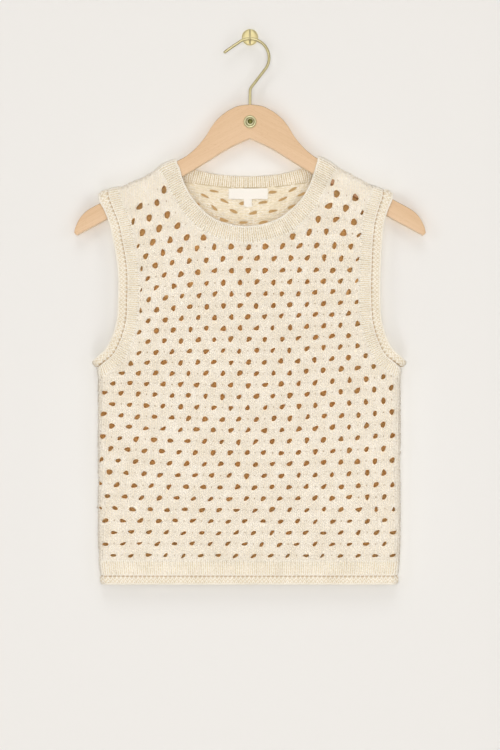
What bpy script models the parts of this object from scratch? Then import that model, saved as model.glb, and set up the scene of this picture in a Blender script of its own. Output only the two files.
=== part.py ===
"""Openwork knit vest on a flat wooden hanger, hung from a brass wall hook.

Metres, +Z up, +X to the viewer's right, +Y into the wall. The origin is on the wall
rosette's back face, a little under its centre. The driving dimensions are in millimetres.

The vest is one skin that lies over the hanger: skin() takes a place on the vest's
outline, seen from the front, to the inner face of its front or back cloth. Every cloth
piece is a surface of such places, thickened outwards, so neighbours meet at their seams.
"""

from collections import namedtuple
import math

import bmesh
import bpy
from mathutils import Vector

MM = 0.001
GAP = 0.3  # clearance between pieces that rest on each other
SEAM = 0.5  # gap along a sewn seam
FRONT, BACK = -1, 1
LEFT, RIGHT = -1, 1

Row = namedtuple("Row", "at value")  # one level or width of the vest, and a measure there
Spot = namedtuple("Spot", "x z")  # a point of a half outline, seen from the front
Place = namedtuple("Place", "half z to_fold", defaults=(None,))  # a point of a cloth edge

# Hanger: a 12 mm board with a rounded head and two straight arms.
MID = -16.0  # its middle plane, and the vest's, in Y
BOARD = 12.0
BOARD_ROUND = 3.5
HEAD = (
    Spot(0, -84.5), Spot(15, -86.6), Spot(27, -92.2), Spot(35, -98), Spot(42.5, -105),
    Spot(49.3, -114.2), Spot(54.5, -123), Spot(61.5, -132.3), Spot(70, -141.4), Spot(80, -149.6),
)
ARM_END = Spot(187, -208)
TIP = (Spot(187, -208), Spot(203.6, -217.3), Spot(213, -226.5), Spot(219, -238), Spot(221, -246))
UNDERSIDE = (
    Spot(218, -249.6), Spot(205, -242.5), Spot(180, -229), Spot(140, -205.5),
    Spot(88, -177), Spot(56, -157.8), Spot(33, -143.4), Spot(17, -134.9), Spot(0, -127.3),
)

# Hook wire of the hanger: a shank, a slanted neck, an arc over the peg and a straight end.
WIRE = 1.8  # radius
ARC_CENTRE, ARC_RADIUS = Spot(0, -25.3), 24.0
ARC_FROM, ARC_TO, ARC_STEPS = -38, 120, 14  # degrees from +X
WIRE_END = Spot(-33.2, -19.2)
NECK_BEND = Spot(0, -64.5)
SHANK_DEPTH = 12.0  # how far the shank goes into the head

# Cup washer with its screw, on the head.
RIVET_Z = -106.7
RIVET = (  # radius, height over the wood: domed screw, dished cup, rolled rim
    (0, 1.3), (1.9, 1.1), (3.1, 0.5), (4.2, 0.5), (5.5, 1.8), (6.5, 2.2), (7.5, 1.7),
    (8.1, 0.7), (8.1, 0),
)
RIVET_SHANK, RIVET_SHANK_LONG = 2.5, 4.0

# Wall hook: a domed rosette and a thin peg with an upturned tip.
ROSETTE = ((0, 3.2), (4, 3.1), (7.4, 2.7), (9.3, 1.8), (10.2, 0.8), (10.3, 0))
ROSETTE_Z = 3.2  # its centre
PEG = 1.3  # radius
PEG_Z = ARC_CENTRE.z + ARC_RADIUS - WIRE - GAP - PEG
PEG_OUT, PEG_BEND, PEG_TOP = -23.0, 3.0, 9.6  # Y of the tip, bend radius, Z of the tip

# Vest: the cloth's walls.
KNIT, RIB, RIM = 3.0, 3.6, 5.0  # thickness of panels, ribs and turned edges
RIM_BEVEL = 1.4
DEPTHS = (Row(-700, 6.3), Row(-500, 7.4), Row(-350, 7.0), Row(-250, 6.3), Row(0, 6.3))
LEANS = (Row(-290, -1.0), Row(-210, -5.5))  # how far the vest hangs to the left, by level
SIDE_TURN, SHOULDER_TURN = 8.0, 6.3  # how far the cloth needs to turn from front to back
REACHES = (  # half width at which front and back meet
    Row(-690, 183), Row(-676, 184.5), Row(-658, 186.6), Row(-630, 187.6), Row(-446, 187.6),
    Row(-430, 187.4), Row(-414.8, 189), Row(-406.6, 195.5), Row(-400, 208), Row(-385, 245),
    Row(-100, 500),
)
SHOULDER_DROPS = (0, 0.3, 1.0, 2.2, 4.0)  # levels under the shoulder's crest
SHOULDER_LIFTS = {  # how far the cloth stands off the arms, by half width
    LEFT: (
        Row(84, 1.5), Row(92, 3.2), Row(104, 3.8), Row(113, 0.8), Row(128, 0), Row(142, 2.0),
        Row(154, 3.2), Row(162, 6.2), Row(170, 9.0), Row(184, 9.4),
    ),
    RIGHT: (
        Row(84, 1.0), Row(92, 2.0), Row(104, 2.0), Row(113, 0), Row(157, 0), Row(165, 1.8),
        Row(172, 3.2), Row(184, 4.2),
    ),
}

# Neck opening: a deep round neckline in front and a shallow one behind. Each row is a
# place of the neckband's inner edge below the shoulder's crest, and the band's width there.
Neckline = namedtuple("Neckline", "half z band")
NECKLINES = {
    FRONT: (
        Neckline(86.9, -162.7, 22.0), Neckline(82.8, -175.6, 19.2), Neckline(77.4, -189.2, 18.0),
        Neckline(69.2, -203.0, 18.4), Neckline(57.5, -216.0, 19.6), Neckline(45.1, -226.2, 20.0),
        Neckline(24.8, -234.9, 19.5), Neckline(0, -238.4, 19.3),
    ),
    BACK: (
        Neckline(79.0, -161.5, 20.0), Neckline(66.0, -165.5, 17.6), Neckline(51.0, -169.3, 15.6),
        Neckline(35.0, -172.2, 14.6), Neckline(17.5, -173.7, 14.2), Neckline(0, -174.2, 14.0),
    ),
}
NECK_HALF, BAND_AT_SHOULDER = 89.0, 24.5  # on the shoulder's crest
NECK_SHIFTS = (Row(-238, -1.0), Row(-205, 2.1))  # how far the neck hangs to the vest's right
SHOULDER_SHARES = (0.33, 0.62, 0.81, 0.915, 0.9745)  # columns from the neck to the armhole

# Armholes: the stitched groove between the rib and its turned edge, down to the underarm.
GROOVE_AT_SHOULDER = 172.3
GROOVE = (
    Spot(167.8, -213), Spot(162.0, -230), Spot(157.5, -256), Spot(153.9, -290),
    Spot(153.4, -328), Spot(155.6, -359), Spot(161.6, -380), Spot(173.2, -401),
)
RIB_WIDE, RIM_WIDE = 14.5, 10.5
RIM_FLARE = 1.2  # how much wider the turned edge is at the shoulder
UNDERARM, RIB_TILT = Vector((189, -414.8)), Vector((0.103, 0.995))  # on the fold: where
RIM_UNDERARM, RIM_TILT = Vector((190, -413.4)), Vector((0.52, 0.65))  # and which way it goes
FOLD = (0.5, 0.27, 0.13, 0.05, 0)  # share of the last stretch still to go to the fold
FOLD_LONG = 20.0
FOLD_EASE = 1.3  # more room between the panel and the band where both turn

# Body and hem.
BODY_LEVELS = (-446, -510, -580, -630)
HEM_BAND_TOP, HEM_GROOVE, HEM_BOTTOM = -658.5, -676.8, -687.0
HEM_PLACES = (0.5, 0.955, 0.975, 0.9924)  # shares of the half width

# Labels inside the back neck.
LABEL = 0.8  # thickness
NECK_LABEL_X, NECK_LABEL_Z = (-26.9, 22.4), (-189.4, -202.8)
SIZE_LABEL_X, SIZE_LABEL_Z = (-7.8, 2.3), (-203.1, -212.4)


def level(rows, at):
    """Value of a table at a level or a width; its rows rise."""
    if at <= rows[0].at:
        return rows[0].value
    for low, high in zip(rows, rows[1:]):
        if at <= high.at:
            return low.value + (high.value - low.value) * (at - low.at) / (high.at - low.at)
    return rows[-1].value


def smooth(points, per_span):
    """Places on a Catmull-Rom curve through the points, which it keeps."""
    spots = [Vector(point) for point in points]
    spots = [2 * spots[0] - spots[1], *spots, 2 * spots[-1] - spots[-2]]
    curve = []
    for before, start, end, after in zip(spots, spots[1:], spots[2:], spots[3:]):
        for step in range(per_span):
            t = step / per_span
            pull = (end - before) * t + (2 * before - 5 * start + 4 * end - after) * t**2
            curve.append(start + (pull + (3 * start - before - 3 * end + after) * t**3) / 2)
    curve.append(spots[-2])
    return curve


def hanger_top(x):
    """Height of the arm's straight top edge, for the half x >= 80."""
    start, end = HEAD[-1], ARM_END
    return start.z + (end.z - start.z) * (abs(x) - start.x) / (end.x - start.x)


ARM_SLOPE = math.atan2(HEAD[-1].z - ARM_END.z, ARM_END.x - HEAD[-1].x)


def shoulder(x):
    """Height of the cloth's inner face along the arm's crest."""
    lifts = SHOULDER_LIFTS[LEFT if x < 0 else RIGHT]
    return hanger_top(x) + GAP + level(lifts, abs(x - LEANS[-1].value))


def turn(distance, length, power):
    """0 on the fold between front and back, 1 where the cloth lies flat."""
    left = 1 - min(max(distance / length, 0), 1)
    return (1 - left**power) ** (1 / power)


def skin(place, side, face, least=0.0):
    """The inner face of the cloth, in metres, at a place of the vest's outline."""
    x = level(LEANS, place.z) + side * place.half
    to_side = place.to_fold
    if to_side is None:
        to_side = level(REACHES, place.z) - abs(place.half)
    to_shoulder = shoulder(x) - place.z if abs(x) > 75 else SHOULDER_TURN
    depth = level(DEPTHS, place.z)
    depth *= turn(to_side, SIDE_TURN, 2) * turn(to_shoulder, SHOULDER_TURN, 3)
    return Vector((x, MID + face * max(depth, least), place.z)) * MM


def over_shoulder(half, side):
    """Places from the shoulder's crest down, at one half width."""
    x = LEANS[-1].value + side * half
    return [Place(half, shoulder(x) - drop) for drop in SHOULDER_DROPS]


def neck_edge(side, face, share, extra=0.0):
    """One side of the neck from the shoulder's crest to the middle. The share of the
    band's width is 0 on its inner edge and 1 where it meets the panel."""
    crest_half = NECK_HALF + side * NECK_SHIFTS[-1].value
    slope = Vector((math.cos(ARM_SLOPE), -math.sin(ARM_SLOPE)))
    wide = share * BAND_AT_SHOULDER + extra
    places = over_shoulder(crest_half + wide * slope.x, side)
    path = [Vector((crest_half, shoulder(LEANS[-1].value + side * crest_half)))]
    for row in NECKLINES[face]:
        path.append(Vector((row.half + side * level(NECK_SHIFTS, row.z), row.z)))
    path.append(Vector((-path[-2].x, path[-2].y)))  # its last step goes over the middle
    for row, before, spot, after in zip(NECKLINES[face], path, path[1:], path[2:]):
        along = (after - before).normalized()
        away = Vector((-along.y, along.x))
        if row.half == 0:
            away = Vector((0, -1))
        elif away.x > slope.x:
            away = slope
        places.append(Place(*(spot + (share * row.band + extra) * away)))
    return places


def armhole_edge(side, wide, ease=0.0):
    """The armhole from the shoulder's crest to the fold of the underarm, this far out
    from its groove; the panel's side is negative."""
    spread = RIM_FLARE if wide > 0 else math.cos(ARM_SLOPE)
    places = over_shoulder(GROOVE_AT_SHOULDER + wide * spread, side)
    path = [Vector((places[0].half, places[-1].z)), *map(Vector, GROOVE), UNDERARM]
    path[0].x = GROOVE_AT_SHOULDER
    for before, spot, after in zip(path, path[1:], path[2:]):
        along = (after - before).normalized()
        places.append(Place(*(spot + wide * Vector((-along.y, along.x)))))
    corner, tilt = (RIM_UNDERARM, RIM_TILT) if wide > 0 else (UNDERARM, RIB_TILT)
    end, last = corner + (wide - ease) * tilt, Vector(places[-1][:2])
    return places + [Place(*end.lerp(last, share), share * FOLD_LONG) for share in FOLD]


def mesh_object(name, points, faces, material):
    mesh = bpy.data.meshes.new(name)
    mesh.from_pydata(points, [], faces)
    mesh.materials.append(material)
    made = bpy.data.objects.new(name, mesh)
    parts.objects.link(made)
    return made


def thicken(made, thickness):
    """Gives an open surface its wall, outwards from the inner face."""
    solid = made.modifiers.new("wall", "SOLIDIFY")
    solid.thickness = thickness * MM
    solid.offset = 1
    return made


def ring(name, first, second, thickness, material):
    """A band between two closed edges with as many points, first edge to second."""
    count = len(first)
    faces = []
    for i in range(count):
        j = (i + 1) % count
        faces.append((i, i + count, j + count, j))
    return thicken(mesh_object(name, first + second, faces, material), thickness)


def neck_loop(share):
    """The neck's whole edge: front from left to right, then back."""
    loop = []
    for face, sides in ((FRONT, (LEFT, RIGHT)), (BACK, (RIGHT, LEFT))):
        for side in sides:
            places = [skin(place, side, face) for place in neck_edge(side, face, share)]
            # the first side goes down to the middle, the second comes up from it
            loop += places[:-1] if side == sides[0] else list(reversed(places))[:-1]
    return loop


def armhole_loop(side, wide):
    """The armhole's whole edge: down the front, round the underarm and up the back."""
    edge = armhole_edge(side, wide)
    front = [skin(place, side, FRONT) for place in edge]
    back = [skin(place, side, BACK) for place in edge]
    return front + back[-2:0:-1]


def hem_loop(z):
    """A level line round the body: front from left to right, then back."""
    reach = level(REACHES, z)
    shares = [*(-share for share in reversed(HEM_PLACES)), 0, *HEM_PLACES]
    front = [skin(Place(share * reach, z), RIGHT, FRONT) for share in (-1, *shares, 1)]
    back = [skin(Place(share * reach, z), RIGHT, BACK) for share in reversed(shares)]
    return front + back


def width_at(edge, z):
    """Half width of a side edge, which falls from the shoulder to the hem, at level z."""
    for high, low in zip(edge, edge[1:]):
        if z >= low.z:
            return high.half + (low.half - high.half) * (high.z - z) / (high.z - low.z)
    return edge[-1].half


def half_panel(face, side):
    """Columns of points, from the neck's middle out to the side. A column under the
    neckline has None where the shoulder's rows would be."""
    rows = len(SHOULDER_DROPS)
    bottom = HEM_BAND_TOP + SEAM
    edge = armhole_edge(side, -RIB_WIDE - SEAM, FOLD_EASE)
    edge += [Place(level(REACHES, z), z, 0) for z in (*BODY_LEVELS, bottom)]
    neckline = neck_edge(side, face, 1, SEAM)
    columns = [[None] * rows + [place] for place in reversed(neckline[rows + 1 :])]
    for share in (0, *SHOULDER_SHARES):
        column = []
        for row, drop in enumerate(SHOULDER_DROPS):
            half = neckline[row].half + (edge[row].half - neckline[row].half) * share
            column.append(Place(half, shoulder(LEANS[-1].value + side * half) - drop))
        corner, last = Vector(neckline[rows][:2]), Vector(edge[rows][:2])
        columns.append([*column, Place(*corner.lerp(last, share))])
    for column in columns:
        top = column[rows]
        share = top.half / width_at(edge, top.z)
        for place in edge[rows + 1 :]:
            z = top.z + (bottom - top.z) * (edge[rows].z - place.z) / (edge[rows].z - bottom)
            column.append(Place(share * width_at(edge, z), z))
    columns.append(edge)
    return [
        [place and skin(place, side, face, SEAM / 2) for place in column] for column in columns
    ]


def panel(name, face, material):
    """Front or back of the vest, as one surface of columns from left to right."""
    left, right = half_panel(face, LEFT), half_panel(face, RIGHT)
    columns = [*reversed(left), *right[1:]]
    if face == BACK:
        columns.reverse()
    points, index = [], {}
    for i, column in enumerate(columns):
        for j, point in enumerate(column):
            if point:
                index[i, j] = len(points)
                points.append(point)
    faces = []
    for i in range(len(columns) - 1):
        for j in range(len(columns[0]) - 1):
            corners = [(i, j), (i, j + 1), (i + 1, j + 1), (i + 1, j)]
            if all(key in index for key in corners):
                faces.append([index[key] for key in corners])
    return thicken(mesh_object(name, points, faces, material), KNIT)


def rim(name, inner, outer, material):
    """A turned edge: a thicker band with rounded corners."""
    made = ring(name, inner, outer, RIM, material)
    bevel = made.modifiers.new("rounding", "BEVEL")
    bevel.width = RIM_BEVEL * MM
    bevel.segments = 1
    bevel.limit_method = "ANGLE"
    bevel.angle_limit = math.radians(60)
    return made


def label(name, x_range, z_range, material):
    """A woven label on the back's inner face, moved off it towards the front."""
    points = []
    for z in z_range:
        for x in (x_range[0], sum(x_range) / 2, x_range[1]):
            on_back = skin(Place(x - level(LEANS, z), z), RIGHT, BACK)
            points.append(on_back - Vector((0, GAP * MM, 0)))
    return thicken(mesh_object(name, points, [(0, 3, 4, 1), (1, 4, 5, 2)], material), LABEL)


def finish(name, hex_colour, roughness, metallic=0.0):
    """A Principled material from an sRGB hex colour."""
    material = bpy.data.materials.new(name)
    material.use_nodes = True
    shader = material.node_tree.nodes["Principled BSDF"]
    channels = [int(hex_colour[i : i + 2], 16) / 255 for i in (1, 3, 5)]
    linear = [c / 12.92 if c <= 0.04045 else ((c + 0.055) / 1.055) ** 2.4 for c in channels]
    shader.inputs["Base Color"].default_value = (*linear, 1)
    shader.inputs["Roughness"].default_value = roughness
    shader.inputs["Metallic"].default_value = metallic
    return material


def tube(name, points, radius, material):
    """A round bar along a line of points, with flat ends."""
    data = bpy.data.curves.new(name, "CURVE")
    data.dimensions = "3D"
    data.bevel_depth = radius * MM
    data.bevel_resolution = 2
    data.use_fill_caps = True
    spline = data.splines.new("POLY")
    spline.points.add(len(points) - 1)
    for point, place in zip(spline.points, points):
        point.co = (*(Vector(place) * MM), 1)
    data.materials.append(material)
    made = bpy.data.objects.new(name, data)
    parts.objects.link(made)
    return made


def turned(name, profile, material, place):
    """A turned piece whose axis points at the viewer, from a radius and height profile."""
    mesh = bpy.data.meshes.new(name)
    points = [(radius * MM, 0, height * MM) for radius, height in profile]
    mesh.from_pydata(points, [(i, i + 1) for i in range(len(points) - 1)], [])
    mesh.materials.append(material)
    made = bpy.data.objects.new(name, mesh)
    made.location = Vector(place) * MM
    made.rotation_euler = (math.pi / 2, 0, 0)
    screw = made.modifiers.new("turn", "SCREW")
    screw.steps = screw.render_steps = 32
    screw.use_merge_vertices = True
    screw.merge_threshold = 0.00005
    screw.use_smooth_shade = True
    parts.objects.link(made)
    return made


def drill(made, name, radius, start, end):
    """Cuts a round bore between two points of a mesh object."""
    start, end = Vector(start) * MM, Vector(end) * MM
    bpy.ops.mesh.primitive_cylinder_add(
        vertices=16, radius=radius * MM, depth=(end - start).length, location=(start + end) / 2
    )
    cutter = bpy.context.object
    cutter.name = name
    cutter.rotation_euler = (end - start).to_track_quat("Z", "Y").to_euler()
    cutter.hide_render = True
    cutter.display_type = "WIRE"
    for collection in list(cutter.users_collection):
        collection.objects.unlink(cutter)
    cutters.objects.link(cutter)
    cut = made.modifiers.new(name, "BOOLEAN")
    cut.operation = "DIFFERENCE"
    cut.object = cutter


def hanger_outline():
    """The board's outline, round from the head's top over the right arm and back."""
    half = smooth(HEAD, 2)[1:] + smooth(TIP, 2)[:-1] + smooth([TIP[-1], *UNDERSIDE[:1]], 1)
    half += [Vector(spot) for spot in UNDERSIDE[1:-1]]
    mirrored = [Vector((-spot.x, spot.y)) for spot in reversed(half)]
    return [Vector(HEAD[0]), *half, Vector(UNDERSIDE[-1]), *mirrored]


def hanger_board(material):
    """The flat board, cut from its outline and rounded along its edges."""
    data = bpy.data.curves.new("hanger_body", "CURVE")
    data.dimensions = "2D"
    data.fill_mode = "BOTH"
    data.extrude = BOARD / 2 * MM
    spline = data.splines.new("POLY")
    outline = hanger_outline()
    spline.points.add(len(outline) - 1)
    for point, spot in zip(spline.points, outline):
        point.co = (spot.x * MM, spot.y * MM, 0, 1)
    spline.use_cyclic_u = True
    blank = bpy.data.objects.new("hanger_blank", data)
    blank.rotation_euler = (math.pi / 2, 0, 0)
    blank.location = (0, MID * MM, 0)
    parts.objects.link(blank)
    bpy.context.view_layer.update()
    evaluated = blank.evaluated_get(bpy.context.evaluated_depsgraph_get())
    mesh = bpy.data.meshes.new_from_object(evaluated)
    made = bpy.data.objects.new("hanger_body", mesh)
    made.matrix_world = blank.matrix_world
    bpy.data.objects.remove(blank)
    shape = bmesh.new()
    shape.from_mesh(mesh)
    bmesh.ops.remove_doubles(shape, verts=shape.verts, dist=0.00001)
    bmesh.ops.dissolve_limit(shape, angle_limit=0.01, verts=shape.verts, edges=shape.edges)
    bmesh.ops.recalc_face_normals(shape, faces=shape.faces)
    shape.to_mesh(mesh)
    shape.free()
    mesh.materials.clear()
    mesh.materials.append(material)
    parts.objects.link(made)
    rounding = made.modifiers.new("rounding", "BEVEL")
    rounding.width = BOARD_ROUND * MM
    rounding.segments = 3
    rounding.limit_method = "ANGLE"
    rounding.angle_limit = math.radians(60)
    return made


def hook_path():
    """The hook wire from the bottom of its shank to its free end, in the middle plane."""
    path = [(0, HEAD[0].z - SHANK_DEPTH + GAP), (0, NECK_BEND.z - 4), (0.3, NECK_BEND.z - 1)]
    path.append((1.6, NECK_BEND.z + 2))
    for step in range(ARC_STEPS + 1):
        angle = math.radians(ARC_FROM + (ARC_TO - ARC_FROM) * step / ARC_STEPS)
        x = ARC_CENTRE.x + ARC_RADIUS * math.cos(angle)
        path.append((x, ARC_CENTRE.z + ARC_RADIUS * math.sin(angle)))
    path.append(WIRE_END)
    return [(x, MID, z) for x, z in path]


def peg_path():
    """The wall peg from its seat in the rosette out, round a bend and up to its tip."""
    path = [(0, -1.3, PEG_Z), (0, PEG_OUT + PEG_BEND, PEG_Z)]
    for degrees in (22.5, 45, 67.5, 90):
        angle = math.radians(degrees)
        y = PEG_OUT + PEG_BEND * (1 - math.sin(angle))
        path.append((0, y, PEG_Z + PEG_BEND * (1 - math.cos(angle))))
    path.append((0, PEG_OUT, PEG_TOP))
    return path


for stale in list(bpy.data.objects):
    bpy.data.objects.remove(stale)
parts = bpy.data.collections.new("openwork_knit_vest")
cutters = bpy.data.collections.new("cutters")
for collection in (parts, cutters):
    bpy.context.scene.collection.children.link(collection)

openwork = finish("cream_cotton_openwork", "#EFE6D2", 0.95)
panel("front_panel", FRONT, openwork)
panel("back_panel", BACK, openwork)

ribbing = finish("cream_cotton_rib", "#EDE3CE", 0.95)
ring("neckband", neck_loop(0), neck_loop(1), RIB, ribbing)
turned_edge = finish("cream_cotton_turned_edge", "#F0E7D5", 0.95)
for side, word in ((LEFT, "left"), (RIGHT, "right")):
    loops = {wide: armhole_loop(side, wide) for wide in (-RIB_WIDE, 0, SEAM, RIM_WIDE)}
    rib_edges, rim_edges = (loops[-RIB_WIDE], loops[0]), (loops[SEAM], loops[RIM_WIDE])
    # the bands run down the front, so seen from there the left one is wound the other way
    if side == RIGHT:
        rib_edges, rim_edges = rib_edges[::-1], rim_edges[::-1]
    ring("armband_" + word, *rib_edges, RIB, ribbing)
    rim("armhole_rim_" + word, *rim_edges, turned_edge)
ring("hem_band", hem_loop(HEM_BAND_TOP), hem_loop(HEM_GROOVE + SEAM), RIB, ribbing)
rim("hem_rim", hem_loop(HEM_GROOVE), hem_loop(HEM_BOTTOM), turned_edge)

woven_label = finish("white_woven_label", "#F7F5F0", 0.7)
label("neck_label", NECK_LABEL_X, NECK_LABEL_Z, woven_label)
label("size_label", SIZE_LABEL_X, SIZE_LABEL_Z, woven_label)

board = hanger_board(finish("beech", "#E3BC92", 0.5))
drill(board, "shank_bore", WIRE + GAP, (0, MID, HEAD[0].z + 5), (0, MID, HEAD[0].z - SHANK_DEPTH))
board_front = MID - BOARD / 2
drill(
    board, "rivet_bore", RIVET_SHANK + GAP,
    (0, board_front - 5, RIVET_Z), (0, board_front + RIVET_SHANK_LONG, RIVET_Z),
)
brass = finish("pale_brass", "#D8C98C", 0.3, 1.0)
tube("hanger_hook", hook_path(), WIRE, brass)
rivet = [*RIVET, (RIVET_SHANK, 0), (RIVET_SHANK, -RIVET_SHANK_LONG), (0, -RIVET_SHANK_LONG)]
turned(
    "hanger_rivet", rivet, finish("aged_brass", "#A79C62", 0.35, 1.0),
    (0, board_front - GAP, RIVET_Z),
)

rosette = turned("wall_rosette", [*ROSETTE, (0, 0)], brass, (0, 0, ROSETTE_Z))
bpy.context.view_layer.update()
drill(rosette, "peg_socket", PEG + GAP, (0, -8, PEG_Z), (0, -1.0, PEG_Z))
tube("wall_peg", peg_path(), PEG, brass)
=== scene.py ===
"""Openwork knit vest on a flat beech hanger, hung from a brass wall hook.

Metres, +Z up, +X to the viewer's right, +Y into the wall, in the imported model's frame.
Lengths are written in millimetres and turned to metres where a mesh is made.
"""

import math

import bpy
import numpy as np
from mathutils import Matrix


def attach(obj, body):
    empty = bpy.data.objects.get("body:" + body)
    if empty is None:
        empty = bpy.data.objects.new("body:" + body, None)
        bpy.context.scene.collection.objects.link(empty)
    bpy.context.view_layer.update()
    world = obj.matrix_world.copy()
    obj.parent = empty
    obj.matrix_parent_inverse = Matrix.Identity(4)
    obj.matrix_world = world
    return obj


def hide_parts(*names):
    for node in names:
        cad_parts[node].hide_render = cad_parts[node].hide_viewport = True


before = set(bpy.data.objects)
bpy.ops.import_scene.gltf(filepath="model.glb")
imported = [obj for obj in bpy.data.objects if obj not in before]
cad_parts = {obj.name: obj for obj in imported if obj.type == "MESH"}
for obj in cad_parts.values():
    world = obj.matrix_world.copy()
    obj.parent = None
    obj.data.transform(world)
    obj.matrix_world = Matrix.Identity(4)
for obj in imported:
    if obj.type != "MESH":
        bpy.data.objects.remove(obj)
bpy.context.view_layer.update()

# ---- Wall hook ----------------------------------------------------------------------
# A domed brass rosette is fixed flat on the wall, and a thin brass peg stands out of it
# and turns up at its tip. Both are turned or bent from rod and lightly polished.

MM = 0.001
PEG = 1.3  # radius
PEG_Z, PEG_OUT, PEG_BEND, PEG_TOP = -4.7, -23.0, 3.0, 9.6
ROSETTE = (  # radius and height of the turned outline, from the wall's side to the dome
    (10.3, 0.0), (10.3, 0.35), (10.1, 0.8), (9.4, 1.55), (8.4, 2.1), (7.0, 2.5), (5.4, 2.8),
    (3.4, 3.05), (1.6, 3.15), (0.05, 3.18),
)
ROSETTE_Z = 3.2  # its centre


def linear(hex_colour):
    """Linear RGBA of an sRGB hex colour."""
    channels = [int(hex_colour[i : i + 2], 16) / 255 for i in (1, 3, 5)]
    return (*[c / 12.92 if c <= 0.04045 else ((c + 0.055) / 1.055) ** 2.4 for c in channels], 1)


def output_of(source):
    """An output itself, or the first of a node's outputs that is in use."""
    if isinstance(source, bpy.types.NodeSocket):
        return source
    return next(output for output in source.outputs if output.enabled)


def add_node(material, kind, sockets=None, **settings):
    """Adds a shader node. A socket is given a value, a hex colour, or what is linked to it:
    another node, or one of its outputs."""
    tree = material.node_tree
    node = tree.nodes.new("ShaderNode" + kind)
    for name, value in settings.items():
        setattr(node, name, value)
    for name, value in (sockets or {}).items():
        if isinstance(value, (bpy.types.Node, bpy.types.NodeSocket)):
            tree.links.new(output_of(value), node.inputs[name])
        else:
            node.inputs[name].default_value = linear(value) if isinstance(value, str) else value
    return node


def new_material(name, colour, roughness, metallic=0.0):
    """A Principled material in one colour, and its piece's coordinates for patterns."""
    material = bpy.data.materials.new(name)
    material.use_nodes = True
    shader = material.node_tree.nodes["Principled BSDF"]
    shader.inputs["Base Color"].default_value = linear(colour)
    shader.inputs["Roughness"].default_value = roughness
    shader.inputs["Metallic"].default_value = metallic
    return material, add_node(material, "TexCoord").outputs


def link(material, sources):
    """Links nodes to sockets of the material's shader."""
    shader = material.node_tree.nodes["Principled BSDF"]
    for socket, source in sources.items():
        material.node_tree.links.new(output_of(source), shader.inputs[socket])


def brushed_brass(name, pale, deep, roughness):
    """Brass with the faint cloudy tarnish and fine polishing marks of drawn rod."""
    brass, place = new_material(name, pale, roughness, 1.0)
    cloud = add_node(brass, "TexNoise", {"Vector": place["Object"], "Scale": 180, "Detail": 3})
    mix = add_node(brass, "Mix", {"Factor": cloud, 6: pale, 7: deep}, data_type="RGBA")
    marks = add_node(brass, "TexNoise", {"Vector": place["Object"], "Scale": 2500})
    bump = add_node(brass, "Bump", {"Height": marks, "Strength": 0.15, "Distance": 0.00005})
    link(brass, {"Base Color": mix, "Normal": bump})
    return brass


def start_fresh():
    """Object mode with nothing selected, for the next operator."""
    if bpy.context.object and bpy.context.object.mode != "OBJECT":
        bpy.ops.object.mode_set(mode="OBJECT")
    bpy.ops.object.select_all(action="DESELECT")


def turned(name, outline, place):
    """A turned piece with its axis towards the viewer, from radius and height rows."""
    start_fresh()
    bpy.ops.mesh.primitive_circle_add(vertices=72, radius=outline[0][0] * MM, fill_type="NGON")
    piece = bpy.context.object
    piece.name = name
    bpy.ops.object.mode_set(mode="EDIT")
    bpy.ops.mesh.select_all(action="SELECT")
    for (radius, height), (next_radius, next_height) in zip(outline, outline[1:]):
        rise = (0, 0, (next_height - height) * MM)
        bpy.ops.mesh.extrude_region_move(TRANSFORM_OT_translate={"value": rise})
        share = next_radius / radius
        bpy.ops.transform.resize(
            value=(share, share, 1), center_override=(0, 0, next_height * MM)
        )
    bpy.ops.mesh.select_all(action="SELECT")
    bpy.ops.mesh.normals_make_consistent(inside=False)
    bpy.ops.object.mode_set(mode="OBJECT")
    piece.location = [c * MM for c in place]
    piece.rotation_euler = (math.pi / 2, 0, 0)
    bpy.ops.object.transform_apply()
    bpy.ops.object.shade_smooth_by_angle(angle=math.radians(40))
    return piece


def bent_wire(name, points, radius):
    """A round bar bent along the points, in millimetres, with rounded ends."""
    start_fresh()
    bpy.ops.curve.primitive_nurbs_path_add()
    bar = bpy.context.object
    curve = bar.data
    curve.splines.clear()
    path = [np.array(point, float) for point in points]
    ends = []
    for end, before in ((path[0], path[1]), (path[-1], path[-2])):
        away = (end - before) / np.linalg.norm(end - before)
        ends.append([(end + away * radius * along, width) for along, width in
                     ((-0.9, 1.0), (-0.5, 0.87), (-0.14, 0.5), (0.0, 0.08))])
    stops = [*reversed(ends[0]), *((point, 1.0) for point in path[1:-1]), *ends[1]]
    spline = curve.splines.new("POLY")
    spline.points.add(len(stops) - 1)
    for stop, (point, width) in zip(spline.points, stops):
        stop.co = (*(point * MM), 1)
        stop.radius = width
    curve.dimensions = "3D"
    curve.bevel_depth = radius * MM
    curve.bevel_resolution = 5
    curve.use_fill_caps = True
    bpy.ops.object.convert(target="MESH")
    made = bpy.context.object
    made.name = name
    bpy.ops.object.shade_smooth()
    return made


def shows_for(pieces, node_name):
    """These pieces stay with the wall, and show in place of one of the model's nodes."""
    for piece in pieces:
        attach(piece, "root")
        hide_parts(node_name)


polished = brushed_brass("polished_brass", "#CDC49C", "#B0A679", 0.34)
rosette = turned("rosette", ROSETTE, (0, 0, ROSETTE_Z))
peg_points = [(0, -1.3, PEG_Z), (0, -10.0, PEG_Z), (0, PEG_OUT + PEG_BEND, PEG_Z)]
for degrees in range(15, 91, 15):
    turn = math.radians(degrees)
    peg_points.append(
        (0, PEG_OUT + PEG_BEND * (1 - math.sin(turn)), PEG_Z + PEG_BEND * (1 - math.cos(turn)))
    )
peg_points.append((0, PEG_OUT, PEG_TOP))
peg = bent_wire("peg", peg_points, PEG)
satin_brass = brushed_brass("satin_brass", "#EFE5B6", "#D9CC94", 0.45)
for piece, node_name, brass in (
    (rosette, "wall_rosette", satin_brass), (peg, "wall_peg", polished),
):
    piece.data.materials.append(brass)
    shows_for([piece], node_name)

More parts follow.
